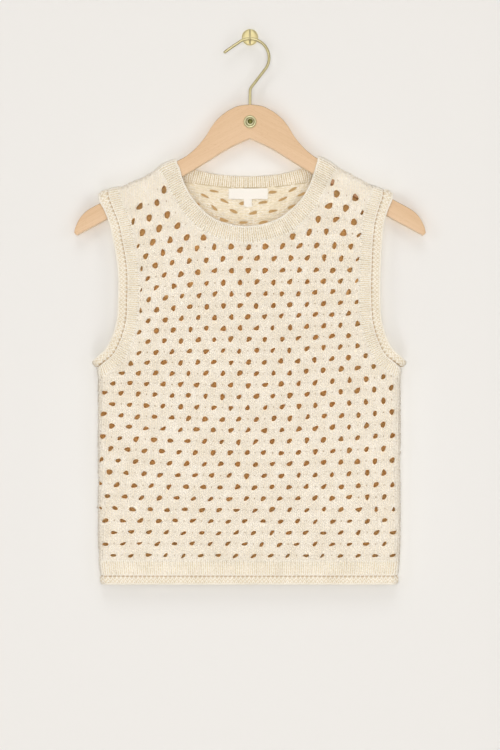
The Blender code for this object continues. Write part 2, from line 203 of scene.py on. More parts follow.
# ---- Hanger -------------------------------------------------------------------------
# One flat board of beech, 12 mm thick, cut to a rounded head and two straight arms, with
# its edges rounded and a clear matt lacquer. A brass wire hook stands in the head's top.

MID = -16.0  # the board's middle plane, and the vest's
BOARD, EDGE_ROUNDING = 12.0, 3.4  # thickness, and radius of its edges
HEAD = (
    (0, -84.5), (15, -86.6), (27, -92.2), (35, -98), (42.5, -105), (49.3, -114.2), (54.5, -123),
    (61.5, -132.3), (70, -141.4), (80, -149.6),
)
TIP = ((187, -208), (203.6, -217.3), (213, -226.5), (219, -238), (221, -246))
UNDERSIDE = (
    (218, -249.6), (205, -242.5), (180, -229), (140, -205.5), (88, -177), (56, -157.8),
    (33, -143.4), (17, -134.9), (0, -127.3),
)


def smooth(points, per_span):
    """Places on a Catmull-Rom curve through the points, which it keeps."""
    spots = np.array(points, float)
    spots = np.vstack([2 * spots[0] - spots[1], spots, 2 * spots[-1] - spots[-2]])
    curve = []
    for before, start, end, after in zip(spots, spots[1:], spots[2:], spots[3:]):
        for t in np.arange(per_span) / per_span:
            pull = (end - before) * t + (2 * before - 5 * start + 4 * end - after) * t**2
            curve.append(start + (pull + (3 * start - before - 3 * end + after) * t**3) / 2)
    curve.append(spots[-2])
    return curve


right_half = [*smooth(HEAD, 6)[1:], *smooth(TIP, 6)[:-1], *smooth((TIP[-1], UNDERSIDE[0]), 3)[:-1]]
right_half += smooth(UNDERSIDE, 5)[:-1]
outline = [np.array(HEAD[0], float), *right_half, np.array(UNDERSIDE[-1], float)]
outline += [np.array((-x, z)) for x, z in reversed(right_half)]
start_fresh()
bpy.ops.mesh.primitive_circle_add(vertices=len(outline), fill_type="NGON")
board = bpy.context.object
board.name = "hanger_board"
for corner, (x, z) in zip(board.data.vertices, outline):
    corner.co = (x * MM, (MID - BOARD / 2) * MM, z * MM)
bpy.ops.object.mode_set(mode="EDIT")
bpy.ops.mesh.select_all(action="SELECT")
bpy.ops.mesh.extrude_region_move(TRANSFORM_OT_translate={"value": (0, BOARD * MM, 0)})
bpy.ops.mesh.select_all(action="SELECT")
bpy.ops.mesh.normals_make_consistent(inside=False)
bpy.ops.object.mode_set(mode="OBJECT")
rounding = board.modifiers.new("rounding", "BEVEL")
rounding.width = EDGE_ROUNDING * MM
rounding.segments = 4
rounding.limit_method = "ANGLE"
rounding.angle_limit = math.radians(60)
bpy.ops.object.modifier_apply(modifier="rounding")
bpy.ops.object.shade_smooth_by_angle(angle=math.radians(35))

# Beech: a warm pink-tan, nearly plain, with straight grain along the arms and the short
# dark flecks of its rays. The matt lacquer leaves a soft sheen.
ARM_FALL = 0.546  # for each millimetre outwards
# COVERED and COVERED_HALF place the painted shade where the vest covers the arms
COVERED, COVERED_HALF = 0.134, 0.041  # metres outwards: the middle of what the vest covers
beech, place = new_material("lacquered_beech", "#E6BE93", 0.42)
axes = add_node(beech, "SeparateXYZ", {"Vector": place["Object"]}).outputs
outwards = add_node(beech, "Math", {0: axes["X"]}, operation="ABSOLUTE")
fall = add_node(
    beech, "Math", {0: outwards, 1: ARM_FALL, 2: axes["Z"]}, operation="MULTIPLY_ADD"
)
along_arm = add_node(beech, "CombineXYZ", {"X": axes["X"], "Y": axes["Y"], "Z": fall})
grain_space = add_node(beech, "Mapping", {"Vector": along_arm, "Scale": (16, 160, 620)})
grain = add_node(
    beech, "TexNoise", {"Vector": grain_space, "Scale": 1, "Detail": 4, "Distortion": 0.4}
)
fleck_space = add_node(beech, "Mapping", {"Vector": along_arm, "Scale": (240, 900, 1500)})
flecks = add_node(beech, "TexNoise", {"Vector": fleck_space, "Scale": 1, "Detail": 1})
facing = add_node(beech, "NewGeometry").outputs["Normal"]
upwards = add_node(beech, "SeparateXYZ", {"Vector": facing}).outputs["Z"]
from_painted_shade_middle = add_node(beech, "Math", {0: outwards, 1: COVERED}, operation="SUBTRACT")
from_painted_shade_middle = add_node(beech, "Math", {0: from_painted_shade_middle}, operation="ABSOLUTE")
colour = add_node(beech, "Mix", {"Factor": grain, 6: "#E2C29D", 7: "#D2AE86"}, data_type="RGBA")
# over the grain: the flecks of its rays, painted shade on the upper edge, a painted
# highlight on the lower edge, and painted shade in the middle of each arm, under the vest
for sign, start, full, most, tone in (
    (flecks, 0.6, 0.75, 0.35, "#BC8F63"), (upwards, 0.35, 0.9, 0.9, "#7E6249"),
    (upwards, -0.3, -0.9, 0.6, "#F6E6CC"),
    (from_painted_shade_middle, COVERED_HALF, 0.034, 0.85, "#A4703E"),
):
    share = add_node(
        beech, "MapRange", {"Value": sign, "From Min": start, "From Max": full, "To Max": most}
    )
    colour = add_node(beech, "Mix", {"Factor": share, 6: colour, 7: tone}, data_type="RGBA")
pores = add_node(beech, "Bump", {"Height": grain, "Strength": 0.2, "Distance": 0.0001})
link(beech, {"Base Color": colour, "Normal": pores})
board.data.materials.append(beech)
shows_for([board], "hanger_body")

WIRE = 1.8  # radius
ARC_Z, ARC_RADIUS = -25.3, 24.0
ROOT = HEAD[0][1] - 11.7  # the wire's hidden end in the head
SWAY = ((0, -68.5), (0.3, -65.5), (1.6, -62.5))  # from the straight stem into the arc
arc = [math.radians(-38 + 158 * step / 32) for step in range(33)]
arc = [(ARC_RADIUS * math.cos(turn), ARC_Z + ARC_RADIUS * math.sin(turn)) for turn in arc]
wire = [(0, ROOT), (0, -80.0), (0, -72.0), *smooth(SWAY, 3)]
wire += [*smooth((*SWAY[1:], arc[0]), 6)[7:-1], *arc, (-22.5, -11.6), (-33.2, -19.2)]
hook = bent_wire("hook", [(x, MID, z) for x, z in wire], WIRE)
hook.data.materials.append(polished)
shows_for([hook], "hanger_hook")

# ---- Rivet --------------------------------------------------------------------------
# A brass cup washer with a round-headed screw in it, on the head's front. The screw sits
# a little high in its cup, so the cup's lower part is a dark crescent.

RIVET_Z = -106.7
CUP = (
    (8.0, 0.0), (8.1, 0.7), (7.9, 1.3), (7.3, 1.9), (6.5, 2.2), (5.8, 2.0), (5.2, 1.4),
    (4.7, 0.7), (4.2, 0.35), (3.0, 0.3), (0.05, 0.3),
)
SCREW = ((3.3, 0.3), (3.35, 0.8), (3.1, 1.3), (2.5, 1.7), (1.6, 1.95), (0.7, 2.05), (0.05, 2.05))
board_front = MID - BOARD / 2
cup = turned("cup_washer", CUP, (0, board_front, RIVET_Z))
screw = turned("cup_screw", SCREW, (0.2, board_front, RIVET_Z + 0.6))
cup.data.materials.append(brushed_brass("aged_brass", "#DCD8B2", "#C2BE96", 0.45))
screw.data.materials.append(brushed_brass("darkened_brass", "#6A6838", "#454424", 0.35))
shows_for([cup, screw], "hanger_rivet")

# ---- Vest: how it hangs -------------------------------------------------------------
# The vest is a soft tube of knitted cotton about 3 mm thick. It lies over the hanger's
# arms, and its front and back hang flat and meet in a round fold down each side.

FRONT, BACK = -1, 1
LEFT, RIGHT = -1, 1
SLOPE = math.atan2(58.4, 107)  # the arms' fall
ARM_HALF, ARM_CREST = 80, -149.3  # where the fall starts: half width, and the cloth's level
LEAN_Z, LEAN = (-290, -210), (-1.0, -5.5)  # how far it hangs to the left, by level
DEPTH_Z, DEPTH = (-700, -500, -350, -250, 0), (6.3, 7.4, 7.0, 6.3, 6.3)
REACH_Z = (-690, -676, -658, -630, -446, -430, -414.8, -406.6, -400, -385, -100)
REACH = (183, 184.5, 186.6, 187.6, 187.6, 187.4, 189, 195.5, 208, 245, 500)
SIDE_TURN, CREST_TURN = 8.0, 6.3
LIFT_HALF = {  # how far it stands off the arms, by half width
    LEFT: (84, 92, 104, 113, 128, 142, 154, 162, 170, 184),
    RIGHT: (84, 92, 104, 113, 157, 165, 172, 184),
}
LIFT = {
    LEFT: (0.4, 2.2, 3.8, 0.8, 0, 2.0, 3.2, 6.2, 9.0, 9.4),
    RIGHT: (0.2, 1.2, 2.0, 0, 0, 1.8, 3.2, 4.2),
}
# Soft folds: from, to, half width, height over the cloth (a trough is negative).
CREASES = {
    FRONT: (
        ((-150, -330), (-128, -560), 15, -1.3), ((-112, -300), (-96, -600), 20, 0.9),
        ((148, -400), (128, -640), 14, -1.2), ((110, -280), (92, -560), 22, 0.8),
        ((-60, -380), (-30, -650), 26, -0.8), ((50, -360), (30, -650), 24, 0.7),
        ((-172, -560), (-164, -680), 8, -1.1), ((168, -520), (170, -680), 8, -0.9),
        ((-135, -200), (-60, -300), 14, 0.8), ((130, -200), (50, -310), 14, 0.7),
    ),
    BACK: (
        ((150, -330), (120, -600), 16, -1.2), ((-145, -330), (-125, -620), 16, -1.1),
        ((60, -260), (40, -620), 24, 0.8), ((-55, -240), (-70, -560), 22, -0.7),
        ((0, -230), (-10, -480), 20, 0.7), ((168, -560), (170, -680), 8, -0.9),
    ),
}


def crest(x):
    """Height of the cloth's inner face along the arms' top edge."""
    half = np.abs(x - LEAN[-1])
    left, right = (np.interp(half, LIFT_HALF[side], LIFT[side]) for side in (LEFT, RIGHT))
    return ARM_CREST - math.tan(SLOPE) * (np.abs(x) - ARM_HALF) + np.where(x < 0, left, right)


def quarter_turn(across, deep, power):
    """The cloth's way from a fold's crest to where it lies flat, in rows: distance on the
    unrolled cloth, what unrolling adds to the real one, share of the full depth, and the
    cloth's direction, outwards and to its face."""
    turn = np.linspace(0, math.pi / 2, 80)
    left, depth = np.cos(turn) ** (2 / power), np.sin(turn) ** (2 / power)
    way = np.hypot(np.diff(left) * across, np.diff(depth) * deep)
    way = np.concatenate([[0], np.cumsum(way)])
    flat = way - way[-1] + across
    outwards, facing = left ** (power - 1) / across, depth ** (power - 1) / deep
    long = np.hypot(outwards, facing)
    return np.array([flat, flat - across * (1 - left), depth, outwards / long, facing / long])


SIDE = quarter_turn(SIDE_TURN, 7.0, 2)
TOP = quarter_turn(CREST_TURN * math.cos(SLOPE), 6.3, 3)


def creased(x, z, face):
    """How far the soft folds move the cloth outwards."""
    move = np.zeros(np.shape(x))
    for (x0, z0), (x1, z1), wide, high in CREASES[face]:
        dx, dz = x1 - x0, z1 - z0
        long = math.hypot(dx, dz)
        share = ((x - x0) * dx + (z - z0) * dz) / long**2
        off = ((x - x0) * dz - (z - z0) * dx) / long
        ends = np.clip(np.minimum(share + 0.15, 1.15 - share) / 0.4, 0, 1)
        move += high * ends**2 * (3 - 2 * ends) * np.exp(-((off / wide) ** 2))
    return move


def to_folds(x, z):
    """Which side of the vest a place is on, and its distances to the side's fold and to
    the shoulder's crest."""
    lean = np.interp(z, LEAN_Z, LEAN)
    from_side = np.interp(z, REACH_Z, REACH) - np.abs(x - lean)
    return np.where(x < lean, -1.0, 1.0), from_side, (crest(x) - z) * math.cos(SLOPE)


def hang(x, z, face, lift):
    """Where a place of the unrolled cloth hangs, in metres. x and z are as on a sheet laid
    flat on the vest's front or back; lift is the height over the cloth's inner face."""
    side, from_side, from_crest = to_folds(x, z)
    shift, depth, outwards, facing = (np.interp(from_side, SIDE[0], row) for row in SIDE[1:])
    drop, top_depth, upwards, top_facing = (np.interp(from_crest, TOP[0], row) for row in TOP[1:])
    deep = np.interp(z, DEPTH_Z, DEPTH) + creased(x, z, face)
    normal = np.stack([
        side * outwards * top_facing + np.sign(x) * math.sin(SLOPE) * upwards,
        face * facing * top_facing,
        math.cos(SLOPE) * upwards,
    ], -1)
    place = np.stack(
        [x + side * shift, MID + face * deep * depth * top_depth, z + drop / math.cos(SLOPE)], -1
    )
    return (place + normal * np.asarray(lift)[..., None]) * MM


def unrolled(x, z):
    """The place on the unrolled cloth of a place of the hung vest, seen from the front."""
    side, from_side, from_crest = to_folds(x, z)
    shift = np.interp(from_side, SIDE[0] - SIDE[1], SIDE[1])
    drop = np.interp(from_crest, TOP[0] - TOP[1], TOP[1])
    return x - side * shift, z - drop / math.cos(SLOPE)


# The edges of the vest's pieces, as rows of half width, level and distance to the fold.
NECKLINES = {  # below the crest: half width and level of the inner edge, the band's width
    FRONT: (
        (86.9, -162.7, 22.0), (82.8, -175.6, 19.2), (77.4, -189.2, 18.0), (69.2, -203.0, 18.4),
        (57.5, -216.0, 19.6), (45.1, -226.2, 20.0), (24.8, -234.9, 19.5), (0, -238.4, 19.3),
    ),
    BACK: (
        (79.0, -161.5, 20.0), (66.0, -165.5, 17.6), (51.0, -169.3, 15.6), (35.0, -172.2, 14.6),
        (17.5, -173.7, 14.2), (0, -174.2, 14.0),
    ),
}
NECK_HALF, BAND_AT_SHOULDER = 89.0, 24.5
SHIFT_Z, SHIFT = (-238, -205), (-1.0, 2.1)  # how far the neck hangs to the right, by level
GROOVE_AT_SHOULDER = 172.3
GROOVE = (
    (167.8, -213), (162.0, -230), (157.5, -256), (153.9, -290), (153.4, -328), (155.6, -359),
    (161.6, -380), (173.2, -401), (189, -414.8),
)
RIB_TILT, RIM_UNDERARM, RIM_TILT = (0.103, 0.995), (190, -413.4), (0.52, 0.65)  # on the fold
RIM_FLARE = 1.05  # how much wider the turned edge is at the shoulder
CREST_STEPS = (0, 0.3, 1.0, 2.2, 4.0)  # rows of an edge below the crest
UNDERARM_STEPS = (0.5, 0.27, 0.13, 0.05, 0)  # and towards the fold, in shares of the way
UNDERARM_WAY = 20.0
RIB_WIDE, RIM_WIDE = 14.5, 10.5
HEM_TOP, HEM_GROOVE, HEM_BOTTOM = -658.5, -676.8, -687.0
SEAM = 0.5  # between a panel and its bands


def over_crest(half, side):
    """From the shoulder's crest down, at one half width."""
    top = float(crest(LEAN[-1] + side * half))
    return [(half, top - drop, None) for drop in CREST_STEPS]


def neck_edge(side, face, share, extra=0.0):
    """One side of the neck, from the crest to the middle. The share of the band's width
    is 0 on its inner edge and 1 where it meets the panel."""
    half = NECK_HALF + side * SHIFT[-1]
    rows = over_crest(half + (share * BAND_AT_SHOULDER + extra) * math.cos(SLOPE), side)
    line = [(half, rows[0][1])]
    line += [(x + side * np.interp(z, SHIFT_Z, SHIFT), z) for x, z, _ in NECKLINES[face]]
    line = np.array([*line, (-line[-2][0], line[-2][1])])
    for (_, _, band), before, spot, after in zip(NECKLINES[face], line, line[1:], line[2:]):
        along = (after - before) / np.linalg.norm(after - before)
        away = math.atan2(-along[0], -along[1])
        away = math.pi / 2 if spot is line[-2] else max(away, SLOPE)
        wide = share * band + extra
        rows.append((spot[0] + wide * math.cos(away), spot[1] - wide * math.sin(away), None))
    return rows


def armhole_edge(side, wide):
    """The armhole from the crest to the underarm's fold, this far out from its groove."""
    spread = RIM_FLARE if wide > 0 else math.cos(SLOPE)
    rows = over_crest(GROOVE_AT_SHOULDER + wide * spread, side)
    path = np.array([(GROOVE_AT_SHOULDER, rows[-1][1]), *GROOVE])
    for before, spot, after in zip(path, path[1:], path[2:]):
        along = (after - before) / np.linalg.norm(after - before)
        rows.append((*(spot + wide * np.array((-along[1], along[0]))), None))
    corner, tilt = (RIM_UNDERARM, RIM_TILT) if wide > 0 else (path[-1], RIB_TILT)
    end = np.array(corner) + wide * np.array(tilt)
    last = np.array(rows[-1][:2])
    return rows + [(*(end + (last - end) * s), s * UNDERARM_WAY) for s in UNDERARM_STEPS]


def skin(row, side, face):
    """The cloth's inner face, in millimetres, at a row of an edge. Over the arms and by
    the sides it turns in to its folds."""
    half, z, to_fold = row
    x = np.interp(z, LEAN_Z, LEAN) + side * half
    if to_fold is None:
        to_fold = np.interp(z, REACH_Z, REACH) - abs(half)
    to_crest = crest(x) - z if abs(x) > 75 else CREST_TURN
    turns = 1.0
    for distance, long, power in ((to_fold, SIDE_TURN, 2), (to_crest, CREST_TURN, 3)):
        left = 1 - min(max(distance / long, 0), 1)
        turns *= (1 - left**power) ** (1 / power)
    deep = np.interp(z, DEPTH_Z, DEPTH) + float(creased(x, z, face))
    return np.array([x, MID + face * deep * turns, z])


def neck_loop(share, extra=0.0):
    """The neck's whole edge in millimetres: front from left to right, then back."""
    loop = []
    for face, sides in ((FRONT, (LEFT, RIGHT)), (BACK, (RIGHT, LEFT))):
        first, second = (
            [skin(row, side, face) for row in neck_edge(side, face, share, extra)]
            for side in sides
        )
        loop += first[:-1] + second[:0:-1]
    return np.array(loop)


def armhole_loop(side, wide):
    """The armhole's whole edge: down the front, round the underarm and up the back."""
    rows = armhole_edge(side, wide)
    front = [skin(row, side, FRONT) for row in rows]
    back = [skin(row, side, BACK) for row in rows]
    return np.array(front + back[-2:0:-1])


def on_loop(points, at):
    """Places on a smooth closed curve; 2.5 is half way from the third point to the fourth."""
    count = len(points)
    chord = np.linalg.norm(np.roll(points, -1, 0) - points, axis=1)[:, None]
    slope = (np.roll(points, -1, 0) - points) / chord
    before = np.roll(chord, 1, 0)
    lean = (np.roll(slope, 1, 0) * chord + slope * before) / (chord + before)
    first = np.floor(at).astype(int) % count
    then = (first + 1) % count
    t = (at - np.floor(at))[:, None]
    return (
        (2 * t**3 - 3 * t**2 + 1) * points[first]
        + (t**3 - 2 * t**2 + t) * chord[first] * lean[first]
        + (3 * t**2 - 2 * t**3) * points[then]
        + (t**3 - t**2) * chord[first] * lean[then]
    )


# The places in a loop where it passes from the front to the back, over a crest or fold.
NECK_ROWS = {face: 2 * (len(CREST_STEPS) - 1 + len(NECKLINES[face])) for face in (FRONT, BACK)}
ARMHOLE_ROWS = len(CREST_STEPS) - 1 + len(GROOVE) + len(UNDERARM_STEPS) - 1


def panel_outline(face):
    """The panel's outline on the unrolled cloth, counterclockwise seen from the front."""
    neck_from = 0 if face == FRONT else NECK_ROWS[FRONT]
    neck = on_loop(neck_loop(1, SEAM), np.linspace(neck_from, neck_from + NECK_ROWS[face], 240))
    arms = []
    for side in (LEFT, RIGHT):
        way = np.linspace(0, ARMHOLE_ROWS, 160)
        way = way if face == FRONT else 2 * ARMHOLE_ROWS - way
        arms.append(on_loop(armhole_loop(side, -RIB_WIDE - SEAM), way))
    # the neck comes out of its loop from left to right on the front, and the other way behind
    neck = neck if face == FRONT else neck[::-1]
    levels = np.linspace(-446, HEM_TOP + SEAM, 60)
    lean, reach = np.interp(levels, LEAN_Z, LEAN), np.interp(levels, REACH_Z, REACH)
    sides = [np.stack([lean + side * reach, 0 * levels, levels], -1) for side in (LEFT, RIGHT)]
    crests = []
    for side in (LEFT, RIGHT):
        half = np.linspace(neck[[0, -1][side > 0], 0], arms[side > 0][0, 0], 26)[1:-1]
        crests.append(np.stack([half, 0 * half, crest(half)], -1))
    edge = np.vstack([
        arms[0], sides[0], sides[1][::-1], arms[1][::-1], crests[1][::-1], neck[::-1], crests[0],
    ])
    return np.stack(unrolled(edge[:, 0], edge[:, 2]), -1)


# ---- Front and back panels ----------------------------------------------------------
# Openwork knitted in soft cream cotton: rows of eyelets, each four stitches wide and four
# rows high, in staggered rows. The yarn is a loosely twisted cotton of about 2.5 mm.

HALF_PITCH, ROW = 10.67, 14.26  # half of the way to the next eyelet, and to the next row
STITCH_WIDE, STITCH_HIGH = HALF_PITCH / 2, ROW / 4
CLOTH_INSIDE, CLOTH_OUTSIDE, YARN_TOP = 0.7, 1.7, 3.1  # heights over the inner face
PINHOLE = 0.85  # radius
YARN_FOOT = 1.35  # where a stitch's ridge leaves the cloth
ROWS, COLUMNS = range(-3, 38), range(-22, 23)
CORNERS = 16  # of each cell of the pattern, and of its eyelet
PLAIN = {LEFT: 19, RIGHT: 13}  # of the knitting has no eyelets below the shoulder's crest
CLEAR, HARD = 1.12, 2.6  # radii at which yarn clears an eyelet, and how sharply it does

# The pattern as it hangs: half pitch and the middle's place by level, and how far the
# rows bend at 150 mm to the left and right.
LOWEST, BACK_LOWEST, BENT_AT = -651.2, -642.5, 150
SPACING_Z = (-651, -608, -580, -537, -500, -440, -380, -345, -308, -278, -245, -210)
SPACING = (10.95, 10.95, 10.88, 10.73, 10.65, 10.58, 10.5, 10.44, 10.49, 10.62, 10.93, 11.3)
MIDDLE_Z = (-651, -594, -537, -508, -480, -420, -366, -320, -263, -210)
MIDDLE = (-7.1, -5.5, -4.1, -3.3, -2.6, -2.7, -2.2, -1.7, -2.1, -3.3)
BEND_ROW = (0, 3, 6, 8, 10, 12, 14, 16, 18, 20, 22, 24, 26, 28, 30)
BEND_LEFT = (0, 1, 2.5, 4.3, 4.3, 4, 3.4, 0.3, -2.8, -6, -8.2, -11.5, -15, -18.5, -18)
BEND_RIGHT = (-0.4, 0.6, 2.2, 4.3, 5.9, 6.8, 8.4, 8.7, 8.3, 6.5, 5.5, 3, -1, -5.5, -11)


def in_cloth(across, up, face):
    """The place on the unrolled cloth of a place in the even pattern, in millimetres. Low
    on the back, the eyelets come half way between the front's, and in the neck the rows of
    the back go their own way."""
    column, row = across / HALF_PITCH, up / ROW
    if face == BACK:
        column = column + 1
    level = LOWEST + ROW * row + 0.13 * np.maximum(0, row - 22) ** 2
    x = np.interp(level, MIDDLE_Z, MIDDLE) + np.interp(level, SPACING_Z, SPACING) * column
    out = np.abs(x) / BENT_AT
    level = level + np.where(
        x < 0,
        np.interp(row, BEND_ROW, BEND_LEFT) * out**2.2,
        np.interp(row, BEND_ROW, BEND_RIGHT) * out**1.6,
    )
    if face == FRONT:
        lifted = np.interp(row, (25.5, 27, 28.5, 30), (0, 3.5, 7, 7.8))
        return x, level + lifted * np.where(x > 0, np.exp(-(((x - 105) / 40) ** 2)), 0)
    high = BACK_LOWEST + ROW * (row - 1) - 0.2 * np.maximum(0, row - 26) ** 2
    high_x = np.interp(high, (-640, -320, -240), (-6, -2.5, -8.1))
    high_x = high_x + np.interp(high, (-400, -230), (10.7, 12.3)) * column
    upper = np.clip((row - 20) / 9, 0, 1)
    high = high + 11 * upper * (1 - np.cos(math.pi * np.minimum(np.abs(high_x), 130) / 130))
    share = np.clip((row - 16) / 8, 0, 1)
    share = share**2 * (3 - 2 * share)
    return x + (high_x - x) * share, level + (high - level) * share


chance = np.random.default_rng(11)


def eyelet_shapes(face):
    """Every eyelet's long and short radius, tilt, lobes, their turn, and its shift."""
    row, column = np.meshgrid(np.array(ROWS, float), np.array(COLUMNS, float), indexing="ij")
    vary = chance.normal(0, 1, (7, *row.shape)).clip(-2, 2)
    if face == FRONT:
        long = np.interp(row, (0, 2, 6, 24, 30), (3.6, 3.65, 3.6, 3.7, 4.2))
        short = np.interp(row, (0, 3, 8, 24, 30), (1.7, 2.15, 2.55, 2.6, 2.95))
        tilt = np.interp(row, (0, 3, 6, 10, 16, 30), (23, 26, 36, 48, 51, 64))
        tilt = tilt + np.interp(row, (1, 4, 12, 20), (0, 1.9, 1.3, 0)) * column
    else:
        long = np.interp(row, (25, 29), (3.6, 4.8))
        short = np.interp(row, (0, 8, 25, 29), (2.1, 2.7, 2.7, 1.9))
        tilt = np.interp(row, (25, 29), (60, 0)) + np.clip((row - 25) / 4, 0, 1) * np.clip(
            column * 5, -24, 24
        )
    return np.stack([
        long * (1 + 0.07 * vary[0]), short * (1 + 0.11 * vary[1]),
        np.radians(tilt + 19 * vary[2]), 0.1 + 0.05 * vary[3], 3 * vary[4],
        0.45 * vary[5], 0.45 * vary[6],
    ])


def eyelet_reach(offset_x, offset_z, shape):
    """How far out a place is, as a share of the eyelet's radius that way."""
    long, short, tilt, lobes, lobe_turn = shape[:5]
    u = offset_x * np.cos(tilt) + offset_z * np.sin(tilt)
    v = -offset_x * np.sin(tilt) + offset_z * np.cos(tilt)
    around = np.arctan2(v / short, u / long)
    return np.hypot(u / long, v / short) / (1 + lobes * np.cos(3 * around + lobe_turn))


def beyond(points, outline):
    """Each point's distance inside the outline, negative outside it, and the outline's
    nearest place."""
    start, end = outline, np.roll(outline, -1, 0)
    along = end - start
    long2 = np.maximum((along**2).sum(1), 1e-9)
    distances, nearest = [], []
    for some in np.array_split(points, max(1, len(points) // 3000)):
        off = some[:, None] - start
        share = np.clip((off * along).sum(2) / long2, 0, 1)
        foot = start + share[..., None] * along
        away = np.linalg.norm(some[:, None] - foot, axis=2)
        best = away.argmin(1)
        over = (start[:, 1] > some[:, None, 1]) != (end[:, 1] > some[:, None, 1])
        rise = np.where(np.abs(along[:, 1]) < 1e-9, 1e-9, along[:, 1])
        cross = start[:, 0] + (some[:, None, 1] - start[:, 1]) / rise * along[:, 0]
        inside = ((over & (some[:, None, 0] < cross)).sum(1) % 2) == 1
        pick = np.arange(len(some))
        distances.append(np.where(inside, 1, -1) * away[pick, best])
        nearest.append(foot[pick, best])
    return np.concatenate(distances), np.vstack(nearest)


def joined_mesh(name, points, faces, materials, slots=None, uv=None):
    """One mesh object from points in metres, with UVs by point where they are given."""
    mesh = bpy.data.meshes.new(name)
    mesh.from_pydata(np.asarray(points).tolist(), [], np.asarray(faces).tolist())
    for material in materials:
        mesh.materials.append(material)
    if slots is not None:
        mesh.polygons.foreach_set("material_index", np.asarray(slots, np.int32))
    if uv is not None:
        corner = np.empty(len(mesh.loops), np.int32)
        mesh.loops.foreach_get("vertex_index", corner)
        layer = mesh.uv_layers.new(name="yarn")
        layer.data.foreach_set("uv", uv[corner].astype(np.float32).ravel())
    mesh.polygons.foreach_set("use_smooth", np.ones(len(mesh.polygons), bool))
    mesh.update()
    made = bpy.data.objects.new(name, mesh)
    bpy.context.scene.collection.objects.link(made)
    return made


def closed_shell(inner, outer, faces):
    """Points and faces of a closed shell between two sheets with the same faces, which
    point outwards, and each face's part: 0 outside, 1 inside, 2 wall."""
    count = len(inner)
    edges = {}
    for face in faces.tolist():
        for a, b in zip(face, face[1:] + face[:1]):
            if a != b:
                edges[a, b] = True
    walls = [(b, a, a + count, b + count) for a, b in edges if (b, a) not in edges]
    shell = [*(faces + count).tolist(), *faces[:, ::-1].tolist(), *walls]
    parts = [0] * len(faces) + [1] * len(faces) + [2] * len(walls)
    return np.vstack([inner, outer]), shell, parts


def fit_eyelets(cells, shapes, face, outline):
    """Which cells of the panel have an eyelet, and how far each is inside the outline. By
    a band an eyelet is made narrow and moved off it, the most by the neckband."""
    i, j = cells[:, 1] - ROWS[0], cells[:, 0] - COLUMNS[0]
    on_cloth = np.stack(in_cloth(*(cells * (HALF_PITCH, ROW)).T, face), -1)
    inside, nearest = beyond(on_cloth, outline)
    x, z = on_cloth.T
    # the right armband and the top of the left one were picked up through the eyelets
    least = np.where(x > 90, -1.2, np.where((x < -120) & (z > -320), -0.7, 1.0))
    least = np.where((x > 0) & (z < -440), 5, least)
    below_crest = (crest(x) - z) * math.cos(SLOPE)
    has_eyelet = (inside > least) & (below_crest > np.where(x < 0, PLAIN[LEFT], PLAIN[RIGHT]))
    by_neck = np.abs(x) < 120
    shapes[1, i, j] *= np.clip(0.35 + inside / 9 + 0.4 * by_neck, 0.5, 1)
    away = (on_cloth - nearest) * (np.sign(inside) / np.maximum(np.abs(inside), 0.1))[:, None]
    away *= np.clip(np.where(by_neck, 6.5, 3.4) - inside, 0, 6)[:, None]
    shapes[5:, i, j] += away.T
    return has_eyelet, inside


def panel_sheet(face, shapes):
    """The panel's cloth with its eyelets: points on the unrolled cloth, faces, which of
    the points are on an edge, which on a pinhole, and the grid of eyelets that it has.
    Each cell is a ring of faces from its border to its eyelet, or to a closed middle."""
    outline = panel_outline(face)
    rim = [(1, 0), (1, 1), (1, 2), (0.5, 2), (0, 2), (-0.5, 2), (-1, 2), (-1, 1)]
    rim = np.array(rim + [(-x, -z) for x, z in rim]) * (HALF_PITCH, ROW / 4)
    turn = np.arctan2(rim[:, 1], rim[:, 0])
    cells = np.array([(c, r) for r in ROWS for c in COLUMNS if (c + r) % 2])
    has_eyelet, inside = fit_eyelets(cells, shapes, face, outline)
    near = inside > -24
    cells, has_eyelet = cells[near], has_eyelet[near]
    i, j = cells[:, 1] - ROWS[0], cells[:, 0] - COLUMNS[0]
    centre, shape = cells * (HALF_PITCH, ROW), shapes[:, i, j]
    middle = centre + has_eyelet[:, None] * shape[5:].T
    unit = np.stack([np.cos(turn), np.sin(turn)], -1)
    radius = 1 / eyelet_reach(unit[None, :, 0], unit[None, :, 1], shape[:, :, None])
    radius *= np.where(has_eyelet, 1.06, 0.2)[:, None]
    hole = middle[:, None] + unit * radius[..., None]
    border = centre[:, None] + rim
    between = hole + (border - hole) * 0.42
    count = len(cells) * CORNERS
    keys = np.round(border / (HALF_PITCH / 2, ROW / 4)).astype(int).reshape(-1, 2)
    _, first, merged = np.unique(keys, axis=0, return_index=True, return_inverse=True)
    points = np.vstack([border.reshape(-1, 2)[first], between.reshape(-1, 2), hole.reshape(-1, 2)])
    ring = [merged.reshape(-1, CORNERS), len(first) + np.arange(count).reshape(-1, CORNERS)]
    ring.append(ring[1] + count)
    faces = [
        np.stack([outer, np.roll(outer, -1, 1), np.roll(inner, -1, 1), inner], -1).reshape(-1, 4)
        for outer, inner in zip(ring, ring[1:])
    ]
    closed = ring[2][~has_eyelet]
    faces += [closed[:, [0, i, i + 1, (i + 2) % CORNERS]] for i in range(1, CORNERS - 1, 2)]
    faces = np.vstack(faces)
    cloth = np.stack(in_cloth(*points.T, face), -1)
    distance, nearest = beyond(cloth, outline)
    faces = faces[(distance[faces] > 0).any(1)]
    cloth = np.where(distance[:, None] < 0, nearest, cloth)
    used = np.unique(faces)
    number = np.zeros(len(points), int)
    number[used] = np.arange(len(used))
    at_edge = np.concatenate([np.zeros(len(first) + count), np.ones(count)])
    at_edge[distance < 0.5] = 1
    pinhole = np.zeros(len(points))
    pinhole[ring[0][has_eyelet][:, [0, CORNERS // 2]]] = 1
    eyelets = np.zeros(shapes.shape[1:], bool)
    eyelets[i, j] = has_eyelet
    return cloth[used], number[faces], at_edge[used], pinhole[used], eyelets


